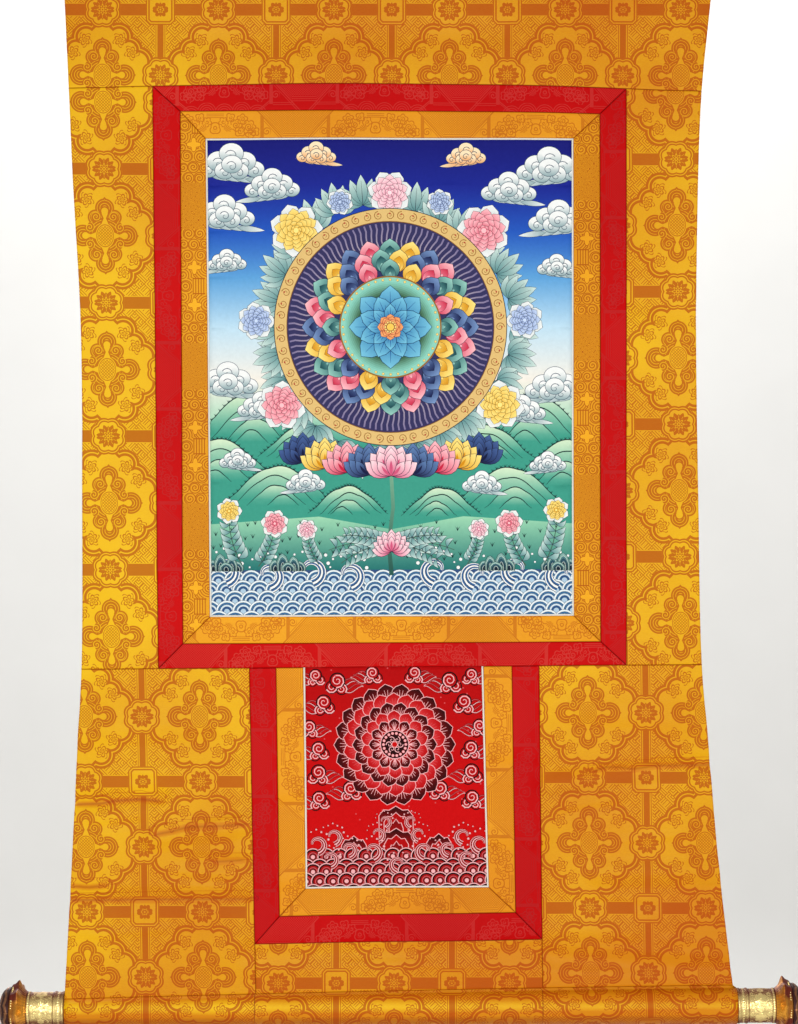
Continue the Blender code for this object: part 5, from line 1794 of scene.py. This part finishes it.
def make_knobs(bright, orange, aged):
    """At each end of the roller, a chased ferrule, a lotus crown with a row of beads, and a domed cap."""
    across = (AXIS_RIGHT - AXIS_LEFT).normalized()
    gap = 0.0003
    tree, ports = bead_row_tree()
    for side, x, outward, turn in (("left", SLEEVE_LEFT_X, -across, 0.0),
                                   ("right", SLEEVE_RIGHT_X, across, 0.03)):
        start = AXIS_LEFT + across * ((x - AXIS_LEFT.x) / across.x)
        ferrule = start + outward * gap
        crown = ferrule + outward * (FERRULE_LENGTH + gap)
        cap = start + outward * (FERRULE_LENGTH + CROWN_LENGTH + 3.0 * gap)
        turned_piece("chased_ferrule_" + side, "knob_ferrule_" + side, FERRULE_SHAPE, ferrule_relief, ferrule,
                     outward, bright, 300, 0.00036, BORE_RADIUS)
        turned_piece("lotus_crown_" + side, "knob_crown_" + side, CROWN_SHAPE, crown_relief, crown, outward,
                     orange, 320, 0.00036, BORE_RADIUS, turn)
        turned_piece("domed_cap_" + side, "knob_cap_" + side, CAP_SHAPE, cap_relief, cap, outward, aged, 240,
                     0.00036, 0.0)
        bead_row("crown_beads_" + side, tree, ports, crown + outward * BEADS_AT, outward,
                 (BEADS, BEAD_RING, BEAD_RADIUS), bright)


# The whole scroll


WEAVES = [
    # name, figure, ground colours in the light and in painted shade, the same two for the figure, colour of
    # the painted shade at creases and round the rod and of the darker seams, roughness and sheen
    ("yellow_brocade", brocade_figure, (232, 181, 18), (206, 127, 17), (188, 110, 18), (180, 84, 7),
     (132, 54, 6), (0.36, 0.55, 0.12)),
    ("yellow_brocade_reverse", brocade_figure, (196, 120, 44), (176, 98, 32), (214, 158, 62), (196, 132, 50),
     (132, 54, 6), (0.6, 0.7, 0.1)),
    ("red_border", border_figure, (196, 6, 9), (178, 5, 9), (200, 58, 50), (184, 40, 40),
     (88, 3, 3), (0.40, 0.5, 0.06)),
    ("red_border_reverse", border_figure, (150, 36, 34), (134, 28, 30), (176, 52, 48), (160, 42, 42),
     (84, 8, 8), (0.65, 0.7, 0.1)),
    ("red_border_upright", border_figure, (196, 6, 9), (178, 5, 9), (188, 40, 40), (168, 28, 30),
     (88, 3, 3), (0.40, 0.5, 0.06)),
    ("gold_border", border_figure, (232, 158, 32), (210, 126, 20), (200, 116, 24), (182, 98, 16),
     (128, 50, 6), (0.38, 0.5, 0.10)),
    ("gold_border_reverse", border_figure, (184, 116, 46), (164, 98, 40), (204, 148, 72), (186, 130, 60),
     (112, 56, 12), (0.65, 0.7, 0.1)),
    ("gold_border_upright", scroll_figure, (240, 172, 32), (218, 138, 22), (178, 94, 12), (160, 78, 8),
     (128, 50, 6), (0.38, 0.5, 0.10)),
    ("gold_border_upright_reverse", scroll_figure, (184, 116, 46), (164, 98, 40), (204, 148, 72),
     (186, 130, 60),
     (112, 56, 12), (0.65, 0.7, 0.1)),
]
# for each strip: the middle of a cartouche, the pattern's shift across and way round, what it hangs from
RED_STRIPS = {
    "top": (-0.1777, 0.0, 1.0, "header_panel"), "bottom": (-0.1250, 16.0, -1.0, "gold_border_bottom"),
    "left": (0.1502, -6.6, 1.0, "side_panel_left"), "right": (0.2909, -3.0, 1.0, "side_panel_right"),
}
GOLD_STRIPS = {
    "top": (-0.0131, -11.0, 1.0, "red_border_top"), "bottom": (-0.1592, -11.0, 1.0, "picture_piping_bottom"),
    "left": (0.1397, 0.0, 1.0, "red_border_left"), "right": (0.2830, 0.0, 1.0, "red_border_right"),
}
DOOR_RED_STRIPS = {
    "bottom": (-0.0302, 16.0, -1.0, "door_gold_bottom"), "left": (0.9203, -3.0, 1.0, "red_border_bottom"),
    "right": (0.8644, 25.0, -1.0, "red_border_bottom"),
}
DOOR_GOLD_STRIPS = {
    "bottom": (0.0188, 20.0, -1.0, "door_piping_bottom"), "left": (0.8262, -12.0, 1.0, "red_border_bottom"),
    "right": (0.7894, -10.0, 1.0, "red_border_bottom"),
}


def framed_picture(node, piping_name, outer, with_top, white, make_art, row, net, finishes, thick, hangs_from):
    """A picture and the piping around it. row is the depth at which its width is measured."""
    inner = inside_by(PIPING_SHOWN, outer, with_top)
    for side, (sides, levels) in frame_parts(outer, inner, with_top).items():
        pipings[node].append(piping(piping_name + side, sides, levels, white, side in ("top", "bottom")))
    wide, high = (inner[1].at(row) - inner[0].at(row)) / MM, (inner[3].at(0.0) - inner[2].at(0.0)) / MM
    picture_cloth(node, make_art(wide, high), net, inner[:2], inner[2:], finishes, thick, [hangs_from])


def make_scroll():
    weaves = []
    for name, figure, *shades, wear_and_shade, shine in WEAVES:
        low, low_other, high, high_other = (linear(*shade) for shade in shades)
        weaves.append(woven(name, figure, (low, low_other), (high, high_other), linear(*wear_and_shade), shine,
                            name.endswith("reverse")))
    brocade, red, gold, gold_upright = weaves[:2], weaves[2:4], weaves[5:7], weaves[7:]
    red_upright = [weaves[4], weaves[3]]
    white = plain_cloth("white_piping", linear(238, 236, 228), linear(206, 202, 190), (1.1, 0.7), 0.6)
    paint = [painted("painted_canvas", 0.62, (1.05, 0.95), 0.12),
             plain_cloth("raw_canvas", linear(226, 214, 190), linear(198, 184, 156), (1.05, 0.95))]
    silk = [painted("embroidered_silk", 0.6, (0.7, 0.5), 0.08),
            plain_cloth("red_silk_reverse", linear(150, 40, 40), linear(126, 30, 32), (0.7, 0.5), 0.7)]

    panels = [
        ("header_panel", (EDGE_LEFT, EDGE_RIGHT), (TOP_EDGE, HEADER_SEAM), []),
        ("side_panel_left", (EDGE_LEFT, RED_LEFT), (HEADER_SEAM, LOWER_SEAM), ["header_panel"]),
        ("side_panel_right", (RED_RIGHT, EDGE_RIGHT), (HEADER_SEAM, LOWER_SEAM), ["header_panel"]),
        ("skirt_panel_left", (EDGE_LEFT, DOOR_LEFT), (LOWER_SEAM, ROLLER_SEAM), ["side_panel_left"]),
        ("skirt_panel_right", (DOOR_RIGHT, EDGE_RIGHT), (LOWER_SEAM, ROLLER_SEAM), ["side_panel_right"]),
        ("skirt_panel_middle", (DOOR_LEFT, DOOR_RIGHT), (DOOR_FOOT, ROLLER_SEAM), ["door_red_bottom"]),
    ]
    for name, sides, levels, hangs_from in panels:
        cloth(name, sides, levels, brocade, weave_place(name), hangs_from,
              row_step=SKIRT_ROW_STEP if name.startswith("skirt") else CLOTH_ROW_STEP)
    make_sleeve(brocade, [weave_place("skirt_panel_" + side) for side in ("left", "middle", "right")])

    inside = inside_by(PIPING_TUCK, PICTURE_FRAME, True)
    border("red_border", RED_FRAME, GOLD_FRAME, red, red_upright, RED_STRIPS)
    border("gold_border", GOLD_FRAME, inside, gold, gold_upright, GOLD_STRIPS)
    framed_picture("painting_canvas", "picture_piping_", inside, True, white, paint_picture, 0.4,
                   PAINTING_NET, paint, CANVAS_THICK, "gold_border_top")

    inside = inside_by(PIPING_TUCK, DOOR_PANEL_FRAME, False)
    border("door_red", DOOR_RED_FRAME, DOOR_GOLD_FRAME, red, red_upright, DOOR_RED_STRIPS)
    border("door_gold", DOOR_GOLD_FRAME, inside, gold, gold, DOOR_GOLD_STRIPS)
    framed_picture("door_panel", "door_piping_", inside, False, white, stitch_door, 0.85, DOOR_NET, silk,
                   BROCADE_THICK, "red_border_bottom")

    make_knobs(gilded("gilt_brass", linear(255, 228, 150), linear(104, 40, 20)),
               gilded("orange_gilt", linear(244, 166, 60), linear(104, 34, 14)),
               gilded("aged_brass", linear(186, 128, 84), linear(58, 24, 20)))
    rod = bpy.data.objects["roller_rod"]
    wood = turned_wood("turned_wood")
    for slot in rod.material_slots:
        slot.material = wood


def make_stage():
    """A pale floor that curves up behind the scroll, soft light from near the camera, and the camera."""
    finish, tree, shader = new_finish("studio_paper")
    mottle = grain(tree, 3.0, 3.0)
    tree.links.new(blend(tree, mottle, linear(226, 225, 222), linear(234, 233, 230)),
                   shader.inputs["Base Color"])
    shader.inputs["Roughness"].default_value = 0.9
    turn = np.linspace(0.0, math.pi / 2.0, 13)
    path = [(-7.0, FLOOR_Z)] + [(BACKDROP_Y - 0.5 + 0.5 * math.sin(a),
                                 FLOOR_Z + 0.5 - 0.5 * math.cos(a)) for a in turn]
    path.append((BACKDROP_Y, 4.0))
    points = np.array([(x, y, z) for y, z in path for x in (-7.0, 7.0)])
    faces = np.array([(2 * i, 2 * i + 1, 2 * i + 3, 2 * i + 2) for i in range(len(path) - 1)])
    add_piece("studio_backdrop", points, faces, [finish])

    for name, place_at, aim, size, power, colour in LAMPS:
        lamp = bpy.data.lights.new(name, "AREA")
        lamp.shape, lamp.size, lamp.energy, lamp.color = "DISK", size, power, colour
        obj = bpy.data.objects.new(name, lamp)
        obj.location = place_at
        obj.rotation_euler = (Vector(aim) - Vector(place_at)).to_track_quat("-Z", "Y").to_euler()
        obj.visible_camera = False
        bpy.context.scene.collection.objects.link(obj)
    world = bpy.data.worlds.new("soft_room")
    bpy.context.scene.world = world
    world.use_nodes = True
    sky = world.node_tree.nodes["Background"]
    sky.inputs["Color"].default_value = (1.0, 1.0, 1.0, 1.0)
    sky.inputs["Strength"].default_value = ROOM_LIGHT

    camera = bpy.data.cameras.new("camera")
    camera.lens, camera.sensor_width = CAMERA_LENS, 36.0
    obj = bpy.data.objects.new("camera", camera)
    obj.location = CAMERA_PLACE
    obj.rotation_euler = (math.pi / 2.0, 0.0, 0.0)
    bpy.context.scene.collection.objects.link(obj)
    bpy.context.scene.camera = obj
    bpy.context.scene.view_settings.view_transform = "Standard"


make_scroll()
for obj, flat, area, hangs_from in sheets:
    node = obj.name[:-len("_cloth")]
make_stage()
